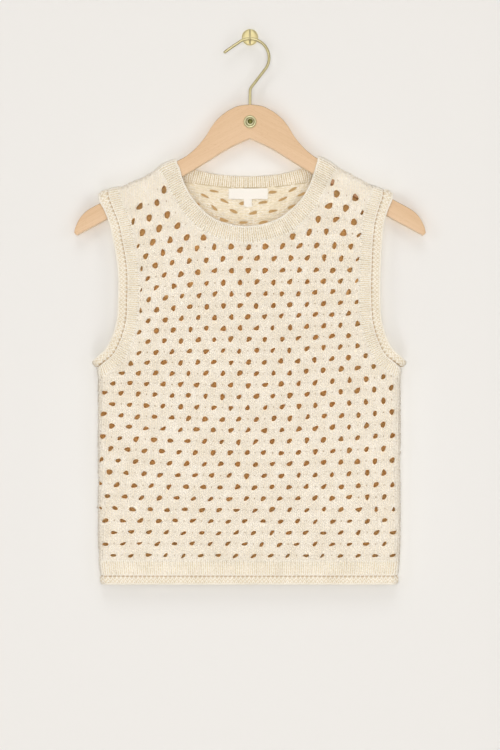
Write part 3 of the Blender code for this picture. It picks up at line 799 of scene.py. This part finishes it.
def leaf_legs(start, end, half_wide):
    """Each leg of a stitch as a small ridge of yarn: 12 points in the plane, their share
    of the height, and UVs. Its ends are sunk."""
    along, wide, high = np.array([(0, 0.5, 0.3), (0.3, 1, 1), (0.72, 1, 0.96), (1, 0.42, 0.15)]).T
    way = end - start
    out = np.stack([way[:, 1], -way[:, 0]], -1) / np.linalg.norm(way, axis=1)[:, None]
    flat = start[:, None, None] + way[:, None, None] * along[None, :, None, None]
    side = np.array([-1.0, 0.0, 1.0])
    flat = flat + out[:, None, None] * (
        half_wide[:, None, None] * wide[None, :, None] * side[None, None]
    )[..., None]
    heights = np.broadcast_to(np.stack([0 * high, high, 0 * high], -1), flat.shape[:3])
    uv = np.stack(np.meshgrid((side + 1) / 2, along, indexing="xy"), -1)
    uv = uv + np.arange(len(start))[:, None, None, None] * (0, 1)
    return flat.reshape(-1, 2), heights.reshape(-1), uv.reshape(-1, 2)


def leg_faces(count, winding):
    """The faces of that many legs of 12 points."""
    quads = [(i, i + 1, i + 4, i + 3) for i in (0, 1, 3, 4, 6, 7)]
    quads = np.array(quads)[:, ::winding]
    return (np.arange(count)[:, None, None] * 12 + quads).reshape(-1, 4)


def off_eyelets(points, shapes, eyelets):
    """Moves places of the pattern away from the eyelets, as the yarn goes round them. Also
    gives how far out each was from the nearest eyelet, in its radii."""
    points = points.copy()
    closest = np.full(len(points), 9.0)
    column, row = points[:, 0] / HALF_PITCH, points[:, 1] / ROW
    for up in (0, 1):
        whole_row = np.floor(row).astype(int) + up
        for right in (0, 1):
            whole = np.floor(column).astype(int)
            whole = whole + np.where((whole + whole_row) % 2 == 1, 2 * right, 2 * right - 1)
            i = np.clip(whole_row - ROWS[0], 0, len(ROWS) - 1)
            j = np.clip(whole - COLUMNS[0], 0, len(COLUMNS) - 1)
            shape = shapes[:, i, j]
            centre = np.stack([whole * HALF_PITCH, whole_row * ROW], -1) + shape[5:].T
            off = points - centre
            reach = np.maximum(eyelet_reach(*off.T, shape), 0.05)
            pushed = (reach**HARD + CLEAR**HARD) ** (1 / HARD) / reach
            there = eyelets[i, j] & (reach < 3)
            closest = np.where(there, np.minimum(closest, reach), closest)
            points = np.where(there[:, None], centre + off * pushed[:, None], points)
    return points, closest


def off_pinholes(points, eyelets):
    """Moves places away from the pinhole that is left half way between two eyelets."""
    row = np.round(points[:, 1] / ROW).astype(int)
    odd = row % 2
    column = 2 * np.round((points[:, 0] / HALF_PITCH - odd) / 2).astype(int) + odd
    off = points - np.stack([column * HALF_PITCH, row * ROW], -1)
    away = np.maximum(np.linalg.norm(off, axis=1), 0.02)
    i = np.clip(row - ROWS[0], 0, len(ROWS) - 1)
    j = np.clip(column - COLUMNS[0], 1, len(COLUMNS) - 2)
    there = (eyelets[i, j - 1] | eyelets[i, j + 1]) & (away < 5)
    pushed = np.where(there, (away**2.5 + PINHOLE**2.5) ** 0.4 / away, 1)
    return points + off * (pushed - 1)[:, None]


def stitches(face, shapes, eyelets):
    """The stitches' legs over a panel: points in metres, faces and UVs. The two legs of
    each start close together and open upwards, into the next stitch."""
    outline = panel_outline(face)
    column, row = np.meshgrid(
        np.arange(COLUMNS[0] * 2, COLUMNS[-1] * 2), np.arange(ROWS[0] * 4, ROWS[-1] * 4)
    )
    low = np.stack([column.ravel() * STITCH_WIDE, row.ravel() * STITCH_HIGH], -1)
    low[:, 0] += STITCH_WIDE / 2
    starts, ends = [], []
    for side in (-1, 1):
        sway = chance.normal(0, 0.22, (2, len(low), 2))
        starts.append(low + (side * 0.07 * STITCH_WIDE, -0.2 * STITCH_HIGH) + sway[0])
        ends.append(low + (side * 0.43 * STITCH_WIDE, 1.12 * STITCH_HIGH) + sway[1])
    start, end = np.vstack(starts), np.vstack(ends)
    along_leg = (start + (end - start) * share for share in (0, 0.25, 0.5, 0.75, 1))
    closest = np.min([off_eyelets(places, shapes, eyelets)[1] for places in along_leg], axis=0)
    inside, _ = beyond(np.stack(in_cloth(*((start + end) / 2).T, face), -1), outline)
    keep = (closest > 0.72) & (inside > 0.2)
    start, end = start[keep], end[keep]
    half_wide = chance.normal(0.235, 0.015, len(start)) * STITCH_WIDE
    flat, heights, uv = leaf_legs(start, end, half_wide)
    flat, _ = off_eyelets(off_pinholes(flat, eyelets), shapes, eyelets)
    x, z = in_cloth(*flat.T, face)
    heights = heights * (YARN_TOP - YARN_FOOT)
    lift = YARN_FOOT + heights * np.repeat(chance.normal(1, 0.06, len(start)), 12)
    return hang(x, z, face, lift), leg_faces(len(start), -face), uv


def purl_bumps(face, shapes, eyelets):
    """The inside's stitches, as rows of short bumps that arch up and down in turn: points
    in metres, faces and UVs. Only where the neck shows them."""
    column, row = np.meshgrid(np.arange(-24, 24), np.arange(96, 140))
    middle = np.stack([column.ravel() * STITCH_WIDE, row.ravel() * STITCH_HIGH], -1)
    arch = np.where((column + row).ravel() % 2, 1, -1)[:, None]
    sway = chance.normal(0, 0.25, (2, len(middle), 2))
    half = np.array((0.56 * STITCH_WIDE, 0)) + arch * (0, 0.26 * STITCH_HIGH)
    start, end = middle - half + sway[0], middle + half + sway[1]
    x, z = in_cloth(*middle.T, face)
    inside, _ = beyond(np.stack([x, z], -1), panel_outline(face))
    closest = off_eyelets(middle, shapes, eyelets)[1]
    keep = (inside > 0) & (closest > 0.8) & (((x + 4) / 86) ** 2 + ((z + 157) / 85) ** 2 < 1)
    start, end = start[keep], end[keep]
    flat, heights, uv = leaf_legs(start, end, chance.normal(0.4, 0.03, len(start)) * STITCH_HIGH)
    flat, _ = off_eyelets(flat, shapes, eyelets)
    points = hang(*in_cloth(*flat.T, face), face, 0.9 - 1.3 * heights)
    return points, leg_faces(len(start), face), uv


# Cream cotton: matt, with a soft bloom where the fibres stand out. A panel's base between the
# stitches is painted a shade warmer, as painted shade; the vest's inside is painted warm brown,
# as the shade between its layers, and paler in the neck's opening, where the light reaches it.
def cotton_yarn(name, pale, deep, twist=True):
    """Cream cotton with cloudy variation, and the twist of its plies along a stitch."""
    yarn, place = new_material(name, pale, 0.92)
    shader = yarn.node_tree.nodes["Principled BSDF"]
    shader.inputs["Sheen Weight"].default_value = 0.15
    shader.inputs["Sheen Roughness"].default_value = 0.6
    cloud, specks = (
        add_node(yarn, "TexNoise", {"Vector": place["Object"], "Scale": scale, "Detail": 2})
        for scale in (60, 420)
    )
    both = add_node(yarn, "Math", {0: cloud, 1: specks}, operation="MULTIPLY")
    amount = add_node(yarn, "MapRange", {"Value": both, "From Min": 0.15, "From Max": 0.4})
    colour = add_node(yarn, "Mix", {"Factor": amount, 6: deep, 7: pale}, data_type="RGBA")
    height, deepest = specks, 0.0006
    if twist:  # two plies to a stitch, which slant across its leg
        slant = {"Vector": place["UV"], "Rotation": (0, 0, 0.5), "Scale": (1.2, 2.4, 1)}
        plies = add_node(yarn, "Mapping", slant)
        plies = add_node(yarn, "TexWave", {"Vector": plies, "Scale": 1})
        height, deepest = plies.outputs["Fac"], 0.0003
    bump = add_node(yarn, "Bump", {"Height": height, "Strength": 0.5, "Distance": deepest})
    link(yarn, {"Base Color": colour, "Normal": bump})
    return yarn


def in_neck(material, place, across, soft):
    """How far a place is inside the neck's round opening, from 0 to 1, seen from the front.
    The opening's middle is at -0.155 m, and its half axes are 1 / across and 0.09 m."""
    ellipse = {"Vector": place["Object"], "Location": (0, 0, 1.72), "Scale": (across, 0, 11.1)}
    round_neck = add_node(material, "Mapping", ellipse)
    away = add_node(material, "VectorMath", {0: round_neck}, operation="LENGTH")
    return add_node(material, "MapRange", {"Value": away, "From Min": soft, "From Max": 0.85})


cream = cotton_yarn("cream_cotton_yarn", "#F2ECE1", "#EAE2D3")
cream_below = cotton_yarn("cream_cotton_between_stitches", "#F5EDDC", "#ECE1CC", twist=False)
# half way between two eyelets a brown spot is painted: painted shade where a pinhole would show,
# not a hole
pinholes = add_node(cream_below, "Attribute", attribute_name="pinhole").outputs["Fac"]
pinholes = add_node(cream_below, "Math", {0: pinholes, 1: 2.5}, operation="POWER")
base = cream_below.node_tree.nodes["Principled BSDF"].inputs["Base Color"].links[0].from_socket
with_pinhole_shade = add_node(
    cream_below, "Mix", {"Factor": pinholes, 6: base, 7: "#8F7450"}, data_type="RGBA"
)
link(cream_below, {"Base Color": with_pinhole_shade})
cream_purl = cotton_yarn("cream_cotton_purl_side", "#FCF5E8", "#EFE3CB")
# the inside: painted shade in warm brown, painted paler where light comes in at the neck
cream_inside, place = new_material("cream_cotton_inside", "#D9A968", 0.95)
loops = add_node(
    cream_inside, "TexNoise", {"Vector": place["Object"], "Scale": 260, "Detail": 2}
)
warm, pale = (
    add_node(cream_inside, "Mix", {"Factor": loops, 6: light, 7: dark}, data_type="RGBA")
    for light, dark in (("#F8D698", "#E9BC7A"), ("#EFE5CE", "#DFD0B1"))
)
lit = in_neck(cream_inside, place, 10, 1.05)
inside_colour = add_node(cream_inside, "Mix", {"Factor": lit, 6: warm, 7: pale}, data_type="RGBA")
loop_bump = add_node(cream_inside, "Bump", {"Height": loops, "Strength": 0.6, "Distance": 0.001})
link(cream_inside, {"Base Color": inside_colour, "Normal": loop_bump})

for face, word in ((FRONT, "front"), (BACK, "back")):
    shapes = eyelet_shapes(face)
    flat, faces, at_edge, pinhole, eyelets = panel_sheet(face, shapes)
    inner = hang(*flat.T, face, CLOTH_INSIDE)
    outer = hang(*flat.T, face, CLOTH_OUTSIDE - 0.5 * at_edge)
    points, shell, parts = closed_shell(inner, outer, faces[:, :: -face])
    cloth = joined_mesh(
        word + "_knit", points, shell, (cream_below, cream_inside), np.minimum(parts, 1)
    )
    pins = cloth.data.attributes.new("pinhole", "FLOAT", "POINT")
    pins.data.foreach_set("value", np.tile(pinhole, 2).astype(np.float32))
    points, leg_quads, uv = stitches(face, shapes, eyelets)
    legs = [joined_mesh(word + "_stitches", points, leg_quads, (cream,), uv=uv)]
    if face == BACK:  # the inside of the back is seen in the neck
        points, bump_quads, uv = purl_bumps(face, shapes, eyelets)
        legs.append(joined_mesh("back_purl_bumps", points, bump_quads, (cream_purl,), uv=uv))
    shows_for([cloth, *legs], word + "_panel")
    edge = panel_outline(face) * MM

# ---- Ribbed bands -------------------------------------------------------------------
# The neckband, the armbands and the hem's band are 1x1 rib in the same yarn, picked up
# from the panels' edges. Each rib is a column of stitches that stands over the next.

RIB_PITCH, RIB_RELIEF = 5.35, 0.9
STEP = 1 / 8  # of a band's width, between its lines
CLEFT = 0.7  # half the width of a stitched groove
LEGS_APART, LEG_WIDE = (0.16, 0.29), 0.205  # in ribs: at a stitch's foot and top; half width

# The ribs' stitches are painted paler than the panels' yarn, as painted light, and the furrows
# between them darker, as painted shade, the most on the neckband, where the ribs are bent apart.
cream_on_bands = cotton_yarn("cream_cotton_on_bands", "#FAF5EA", "#F2ECDF")
cream_between_ribs = cotton_yarn("cream_cotton_between_ribs", "#E9DDC5", "#D9CAAC", twist=False)
cream_in_neckband = cotton_yarn("cream_cotton_in_neckband", "#E1D2B5", "#CEBC98", twist=False)


def even_steps(points, count):
    """Places on a loop, as on_loop counts them, that cut it into equal lengths; and its
    length."""
    fine = np.linspace(0, len(points), 40 * len(points) + 1)
    way = np.linalg.norm(np.diff(on_loop(points, fine), axis=0), axis=1)
    way = np.concatenate([[0], np.cumsum(way)])
    return np.interp(np.arange(count) * way[-1] / count, way, fine), way[-1]


def band_lines(loop_at):
    """A band laid out in ribs: lines along its inner face, four steps to a rib, their
    outward normals, its count of ribs, its length and width in metres, and the scale that
    makes both directions ribs. Line 0 is its first edge, line 8 its second, and one more
    goes on over the cloth that it joins."""
    loops = [loop_at(line * STEP) for line in range(10)]
    _, long = even_steps(loops[4], 4)
    at, _ = even_steps(loops[4], round(long / RIB_PITCH) * 4)
    lines = np.array([on_loop(loop, at) for loop in loops])
    normals = np.cross(np.roll(lines, -1, 1) - np.roll(lines, 1, 1), np.gradient(lines, axis=0))
    normals /= np.linalg.norm(normals, axis=2, keepdims=True)
    if (normals[..., 1] * (lines[..., 1] - MID)).sum() < 0:
        normals = -normals
    wide = np.linalg.norm(lines[8] - lines[0], axis=1).mean()
    return {
        "lines": lines, "normals": normals, "ribs": len(at) // 4,
        "size": (long * MM, wide * MM), "scale": np.array([1, wide / RIB_PITCH]),
    }


def on_band(band, rib, across, lift):
    """A place of a band in metres: ribs along it, share of its width, height over it."""
    lines, normals = band["lines"], band["normals"]
    i = np.floor(rib * 4).astype(int)
    j = np.clip(np.floor(across / STEP), 0, len(lines) - 2).astype(int)
    s, t = (rib * 4 - i)[:, None], (across / STEP - j)[:, None]
    i, k = i % lines.shape[1], (i + 1) % lines.shape[1]
    place, normal = (
        (grid[j, i] * (1 - s) + grid[j, k] * s) * (1 - t)
        + (grid[j + 1, i] * (1 - s) + grid[j + 1, k] * s) * t
        for grid in (lines, normals)
    )
    return (place + normal * lift[:, None]) * MM


def band_cloth(name, band, profile, relief, material):
    """A band's closed shell. The profile goes round its cut in rows of share of the
    width, height, and how far the ribs show there; the relief is their height."""
    rib = np.arange(band["ribs"] * 4) / 4
    between = 0.5 + 0.5 * np.cos(2 * math.pi * rib)
    points = np.vstack([
        on_band(band, rib, np.full(len(rib), across), height - relief * ribbed * between)
        for across, height, ribbed in profile
    ])
    number = np.arange(len(points)).reshape(len(profile), len(rib))
    after = np.roll(number, -1, 0)
    faces = np.stack([number, np.roll(number, -1, 1), np.roll(after, -1, 1), after], -1)
    faces = faces.reshape(-1, 4)
    a, b, c, d = (points[faces[:, i]] for i in range(4))
    volume = (np.cross(b - a, c - a) * a).sum() + (np.cross(c - a, d - a) * a).sum()
    return joined_mesh(name, points, faces if volume > 0 else faces[:, ::-1], (material,))


def columns_of_stitches(band, rows, spread, first, last, wide):
    """Stitches along a band's ribs, opening from its last edge to its first. Gives the
    leaf_legs of them, with places as rib and share of the width."""
    rib, row = np.meshgrid(np.arange(band["ribs"]) + 0.5, np.arange(rows))
    rib, row = rib.ravel(), row.ravel()
    high = (last - first) / rows
    low = last - row * high + 0.2 * high
    starts, ends = [], []
    for side in (-1, 1):
        sway = chance.normal(0, 0.025, (2, len(rib)))
        starts.append(np.stack([rib + side * spread[0] + sway[0], low], -1))
        ends.append(np.stack([rib + side * spread[1] + sway[1], low - 1.35 * high], -1))
    start, end = np.vstack(starts) * band["scale"], np.vstack(ends) * band["scale"]
    flat, heights, uv = leaf_legs(start, end, chance.normal(wide, 0.012, len(start)))
    heights = heights * np.repeat(chance.normal(1, 0.05, len(start)), 12)
    return flat / band["scale"], heights, uv


def chain_along(band, across, wide, pitch=0.5):
    """The bound-off edge: a chain of slanting stitches along a band's edge."""
    rib = np.arange(0, band["ribs"], pitch)
    start = np.stack([rib, np.full(len(rib), across + 0.035)], -1) * band["scale"]
    end = np.stack([rib + 0.5 + pitch / 2, np.full(len(rib), across - 0.02)], -1) * band["scale"]
    flat, heights, uv = leaf_legs(start, end, np.full(len(rib), wide))
    return flat / band["scale"], heights, uv


def stitch_piece(name, band, groups, material):
    """One mesh of several groups of legs on a band. Each group's heights turn to lifts by
    the function that comes with it."""
    all_points, all_faces, all_uv, count = [], [], [], 0
    for (flat, heights, uv), lift_of in groups:
        lift = lift_of(flat[:, 1], heights)
        points = on_band(band, flat[:, 0], flat[:, 1], lift)
        # faces point the way that the ridges stand, out of the band or into it
        normal = np.cross(points[4] - points[3], points[7] - points[3])
        low, high = (on_band(band, flat[4:5, 0], flat[4:5, 1], np.full(1, h)) for h in (0, 1))
        turn = 1 if (normal @ (high - low)[0]) * (lift[4] - lift[3]) > 0 else -1
        all_points.append(points)
        all_faces.append(leg_faces(len(points) // 12, turn) + count)
        all_uv.append(uv)
        count += len(points)
    return joined_mesh(
        name, np.vstack(all_points), np.vstack(all_faces), (material,), uv=np.vstack(all_uv)
    )


# Round the cut of a band: from its free edge over its face and back along its inside. In
# the second, the inside goes on under the stitched groove.
RIB_PROFILE = (
    (0.02, 0.8, 0), (0.0, 1.1, 0), (0.0, 1.4, 0), (0.03, 1.7, 1), (0.3, 1.9, 1), (0.6, 1.9, 1),
    (0.9, 1.8, 1), (1.0, 1.5, 1), (1.03, 0.9, 0), (1.0, 0.6, 0), (0.7, 0.7, 0), (0.35, 0.7, 0),
)
GROOVED_PROFILE = ((-0.13, 0.3, 0), (-0.13, 0.7, 0), (0.01, 0.8, 0), *RIB_PROFILE[2:])


def outer_lift(across, heights):
    """Height of the outer stitches: they round off over the band's free edge."""
    full = np.interp(across, (-0.03, 0.04, 0.12, 0.9, 1.1), (0.4, 0.8, 1, 1, 0.85))
    return 1.2 + heights * 2.2 * full


def inner_lift(across, heights):
    """Height of the stitches on the band's inner face."""
    return 1.1 - heights * 1.2


def ribbed_band(name, loop_at, rows, profile=GROOVED_PROFILE, inside=False):
    """A band of 1x1 rib: its corrugated cloth and its columns of stitches. The inside's
    stitches are made where they show, on the neckband."""
    band = band_lines(loop_at)
    between = cream_in_neckband if inside else cream_between_ribs
    cloth = band_cloth(name + "_rib", band, profile, RIB_RELIEF, between)
    groups = [
        (columns_of_stitches(band, rows, LEGS_APART, 0.0, 1.09, LEG_WIDE), outer_lift),
        (chain_along(band, 0.005, 0.2), outer_lift),
    ]
    if inside:
        columns = columns_of_stitches(band, rows, LEGS_APART, 0.0, 0.97, LEG_WIDE)
        groups.append((columns, inner_lift))
    legs = stitch_piece(name + "_stitches", band, groups, cream_on_bands)
    shows_for([cloth, legs], name)


def hem_line(z):
    """A level line round the hem in millimetres: front from left to right, then back."""
    reach = np.interp(z, REACH_Z, REACH) - SIDE[0][0]
    x = np.interp(z, LEAN_Z, LEAN) + np.linspace(-reach, reach, 180)
    z, on_skin = np.full(len(x), z), np.zeros(len(x))
    front, back = (hang(x, z, face, on_skin) / MM for face in (FRONT, BACK))
    return np.vstack([front[:-1], back[:0:-1]])


ribbed_band("neckband", neck_loop, 6, RIB_PROFILE, inside=True)
for side, word in ((LEFT, "left"), (RIGHT, "right")):
    ribbed_band(
        "armband_" + word,
        lambda share, side=side: armhole_loop(side, -CLEFT - share * (RIB_WIDE - CLEFT)),
        4,
    )
HEM_RIB = HEM_GROOVE + CLEFT
ribbed_band("hem_band", lambda share: hem_line(HEM_RIB + share * (HEM_TOP - HEM_RIB)), 5)

# ---- Turned edges -------------------------------------------------------------------
# Outside a groove, whose stitches are painted tan as its shade, the armholes and the hem end
# in a thick edge, where the knitting is turned under and sewn down. Its stitches slant one way
# and the other.

RIM_PROFILE = (
    (0.0, 0.6, 0), (-0.02, 1.6, 0), (0.03, 2.6, 1), (0.12, 3.4, 1), (0.3, 3.9, 1), (0.55, 4.0, 1),
    (0.78, 3.7, 1), (0.92, 2.9, 1), (1.0, 1.7, 0), (0.97, 0.8, 0), (0.75, 0.4, 0), (0.3, 0.4, 0),
)
DOME = tuple(zip(*(row[:2] for row in RIM_PROFILE if row[2])))
RIM_RELIEF, TURNED_UNDER = 0.35, 1.6  # the cut is so many times as wide as what shows
# the turned edge's cloth under its stitches is painted darker, as the shade between them
cream_in_rim = cotton_yarn("cream_cotton_in_turned_edge", "#E9DECA", "#DDD0B6", twist=False)

# The stitches in the groove: matt and half sunk, and painted tan as the shade in the groove.
groove_shade_cotton, place = new_material("tan_groove_shade_cotton", "#A98A64", 0.9)
specks = add_node(groove_shade_cotton, "TexNoise", {"Vector": place["Object"], "Scale": 500})
tan = add_node(
    groove_shade_cotton, "Mix", {"Factor": specks, 6: "#AE8D64", 7: "#D6BD98"}, data_type="RGBA"
)
link(groove_shade_cotton, {"Base Color": tan})


def rim_lift(across, heights):
    """Height of the stitches that lie round a turned edge."""
    return np.interp(across, *DOME) - 0.6 + heights * 1.3


def thread_lift(across, heights):
    """Height of the groove's stitches, which are painted tan as its shade."""
    return 1.4 + heights * 1.1


def turned_edge(name, loop_at, rows):
    """A turned edge: its rounded cloth, its slanting stitches and the seam beside it."""
    band = band_lines(loop_at)
    cloth = band_cloth(name + "_edge", band, RIM_PROFILE, RIM_RELIEF, cream_in_rim)
    groups = [
        (columns_of_stitches(band, rows, (-0.05, 0.58), 0.0, 0.98, 0.19), rim_lift),
        (chain_along(band, 0.97, 0.2), rim_lift),
    ]
    legs = stitch_piece(name + "_stitches", band, groups, cream_on_bands)
    sewn = [(chain_along(band, -0.075, 0.1, 1.0), thread_lift)]
    thread = stitch_piece(name + "_seam", band, sewn, groove_shade_cotton)
    shows_for([cloth, legs, thread], name)


for side, word in ((LEFT, "left"), (RIGHT, "right")):
    turned_edge(
        "armhole_rim_" + word,
        lambda share, side=side: armhole_loop(side, CLEFT + share * (RIM_WIDE - CLEFT)),
        2,
    )
HEM_EDGE = HEM_GROOVE - CLEFT
turned_edge("hem_rim", lambda share: hem_line(HEM_EDGE + share * (HEM_BOTTOM - HEM_EDGE)), 2)

# ---- Labels -------------------------------------------------------------------------
# Two bare labels of white satin tape, sewn inside the back neck: a wide one, and a small
# square one that hangs from its lower edge.

TAPE, TURNED_END = 0.45, 0.35  # thickness, and how much its folded ends add

# Satin: smooth and close, so it is brighter than the knitting, with a fine weave across.
satin, place = new_material("white_satin_tape", "#F4F1EA", 0.55)
threads = add_node(satin, "Mapping", {"Vector": place["Object"], "Scale": (1600, 1, 5200)})
weave = add_node(satin, "TexNoise", {"Vector": threads, "Scale": 1})
white = add_node(satin, "Mix", {"Factor": weave, 6: "#F9F6F0", 7: "#EAE6DD"}, data_type="RGBA")
ridges = add_node(satin, "Bump", {"Height": weave, "Strength": 0.5, "Distance": 0.0002})
link(satin, {"Base Color": white, "Normal": ridges})


def tape(name, node_name, x_range, z_range, bow):
    """A flat piece of tape on the inside of the back, folded under at both ends. It bows
    off the cloth by this much at its free edge."""
    columns, rows = 28, 10
    across, down = np.meshgrid(np.linspace(0, 1, columns), np.linspace(0, 1, rows))
    across, down = across.ravel(), down.ravel()
    x = x_range[0] + (x_range[1] - x_range[0]) * across
    z = z_range[0] + (z_range[1] - z_range[0]) * down + 0.35 * np.sin(across * 9 + 1) * down
    ends = np.minimum(across, 1 - across) * abs(x_range[1] - x_range[0])
    swell = TURNED_END * np.exp(-((ends / 1.2) ** 2))
    off = 0.5 + bow * down**1.5 + 0.25 * np.sin(across * 7 + 2) * down
    near, far = hang(x, z, BACK, -off - TAPE - swell), hang(x, z, BACK, -off)
    number = np.arange(columns * rows).reshape(rows, columns)
    faces = np.stack([number[:-1, :-1], number[1:, :-1], number[1:, 1:], number[:-1, 1:]], -1)
    points, shell, _ = closed_shell(far, near, faces.reshape(-1, 4))
    made = joined_mesh(name, points, shell, (satin,))
    start_fresh()
    made.select_set(True)
    bpy.context.view_layer.objects.active = made
    bpy.ops.object.shade_smooth_by_angle(angle=math.radians(50))
    shows_for([made], node_name)


tape("wide_label_tape", "neck_label", (-26.9, 22.4), (-189.4, -202.8), 0.3)
tape("small_label_tape", "size_label", (-7.8, 2.3), (-202.4, -212.5), 0.6)

# ---- Studio -------------------------------------------------------------------------
# A pale painted wall, lit by soft boxes from the front, above, below and both sides, by
# one behind the wall for views from there, and by an even sky.

wall_paint, place = new_material("white_wall_paint", "#E7E7E6", 0.9)
# Behind the vest, inside a rounded oblong, it is painted warm brown and glows faintly: painted
# light for the warm light that comes through the cotton, a little less warm round the neck.
HALF_WIDE, HALF_HIGH, OBLONG_Z = 0.158, 0.238, -0.42
oblong = add_node(
    wall_paint, "Mapping",
    {"Vector": place["Object"], "Location": (0, 0, -OBLONG_Z / HALF_HIGH),
     "Scale": (1 / HALF_WIDE, 0, 1 / HALF_HIGH)},
)
for _ in range(3):
    oblong = add_node(wall_paint, "VectorMath", {0: oblong, 1: oblong}, operation="MULTIPLY")
away = add_node(wall_paint, "VectorMath", {0: oblong, 1: (1, 1, 1)}, operation="DOT_PRODUCT")
glow = add_node(wall_paint, "MapRange", {"Value": away, "From Min": 1, "From Max": 0.9})
lit = in_neck(wall_paint, place, 11, 1.1)
tint = add_node(wall_paint, "Mix", {"Factor": lit, 6: "#BC9663", 7: "#B49C74"}, data_type="RGBA")
tint = add_node(wall_paint, "Mix", {"Factor": glow, 6: "#E7E7E6", 7: tint}, data_type="RGBA")
# the oblong's faint glow is painted light, not a lamp
glow = add_node(wall_paint, "Math", {0: glow, 1: 0.18}, operation="MULTIPLY")
link(wall_paint, {"Base Color": tint, "Emission Strength": glow})
wall_shader = wall_paint.node_tree.nodes["Principled BSDF"]
wall_shader.inputs["Emission Color"].default_value = linear("#C9985F")
# seen from behind, the wall is clear, so that it never hides the vest
faces_away = add_node(wall_paint, "NewGeometry").outputs["Backfacing"]
clear = add_node(wall_paint, "BsdfTransparent")
one_way = add_node(wall_paint, "MixShader", {0: faces_away, 1: wall_shader, 2: clear})
wall_out = wall_paint.node_tree.nodes["Material Output"]
wall_paint.node_tree.links.new(one_way.outputs[0], wall_out.inputs["Surface"])
start_fresh()
bpy.ops.mesh.primitive_plane_add(size=8, location=(0, 0.001, 0), rotation=(math.pi / 2, 0, 0))
wall = bpy.context.object
wall.name = "wall"
bpy.ops.object.transform_apply()
wall.data.materials.append(wall_paint)
wall.visible_shadow = False

world = bpy.data.worlds.new("even_sky")
world.use_nodes = True
world.node_tree.nodes["Background"].inputs["Color"].default_value = linear("#FFF2E2")
world.node_tree.nodes["Background"].inputs["Strength"].default_value = 0.40
bpy.context.scene.world = world
for word, place, size, power, turn in (
    ("fill", (0, -3.2, -0.4), 1.5, 31, (90, 0)),
    ("key", (0, -4.0, 3.5), 2.8, 57, (47, 0)),
    ("bounce", (0, -3.5, -3.0), 2.4, 41, (126, 0)),
    ("left", (-3.4, -4.0, 0.2), 1.6, 28, (80, -40)),
    ("right", (3.4, -4.0, 0.2), 1.6, 24, (80, 40)),
    ("rear", (0.8, 3.6, 0.8), 2.0, 110, (70, 168)),
):
    start_fresh()
    bpy.ops.object.light_add(type="AREA", location=place)
    softbox = bpy.context.object
    softbox.name = word + "_softbox"
    softbox.data.size = size
    softbox.data.energy = power
    softbox.data.color = (0.98, 0.99, 1.0)
    softbox.rotation_euler = [math.radians(angle) for angle in (turn[0], 0, turn[1])]

# the camera looks straight at the vest's middle
start_fresh()
bpy.ops.object.camera_add(location=(0, -2.45, -0.4247), rotation=(math.pi / 2, 0, 0))
camera = bpy.context.object
camera.data.lens = 92.8
camera.data.sensor_width = 36
bpy.context.scene.camera = camera
bpy.context.scene.view_settings.view_transform = "Standard"
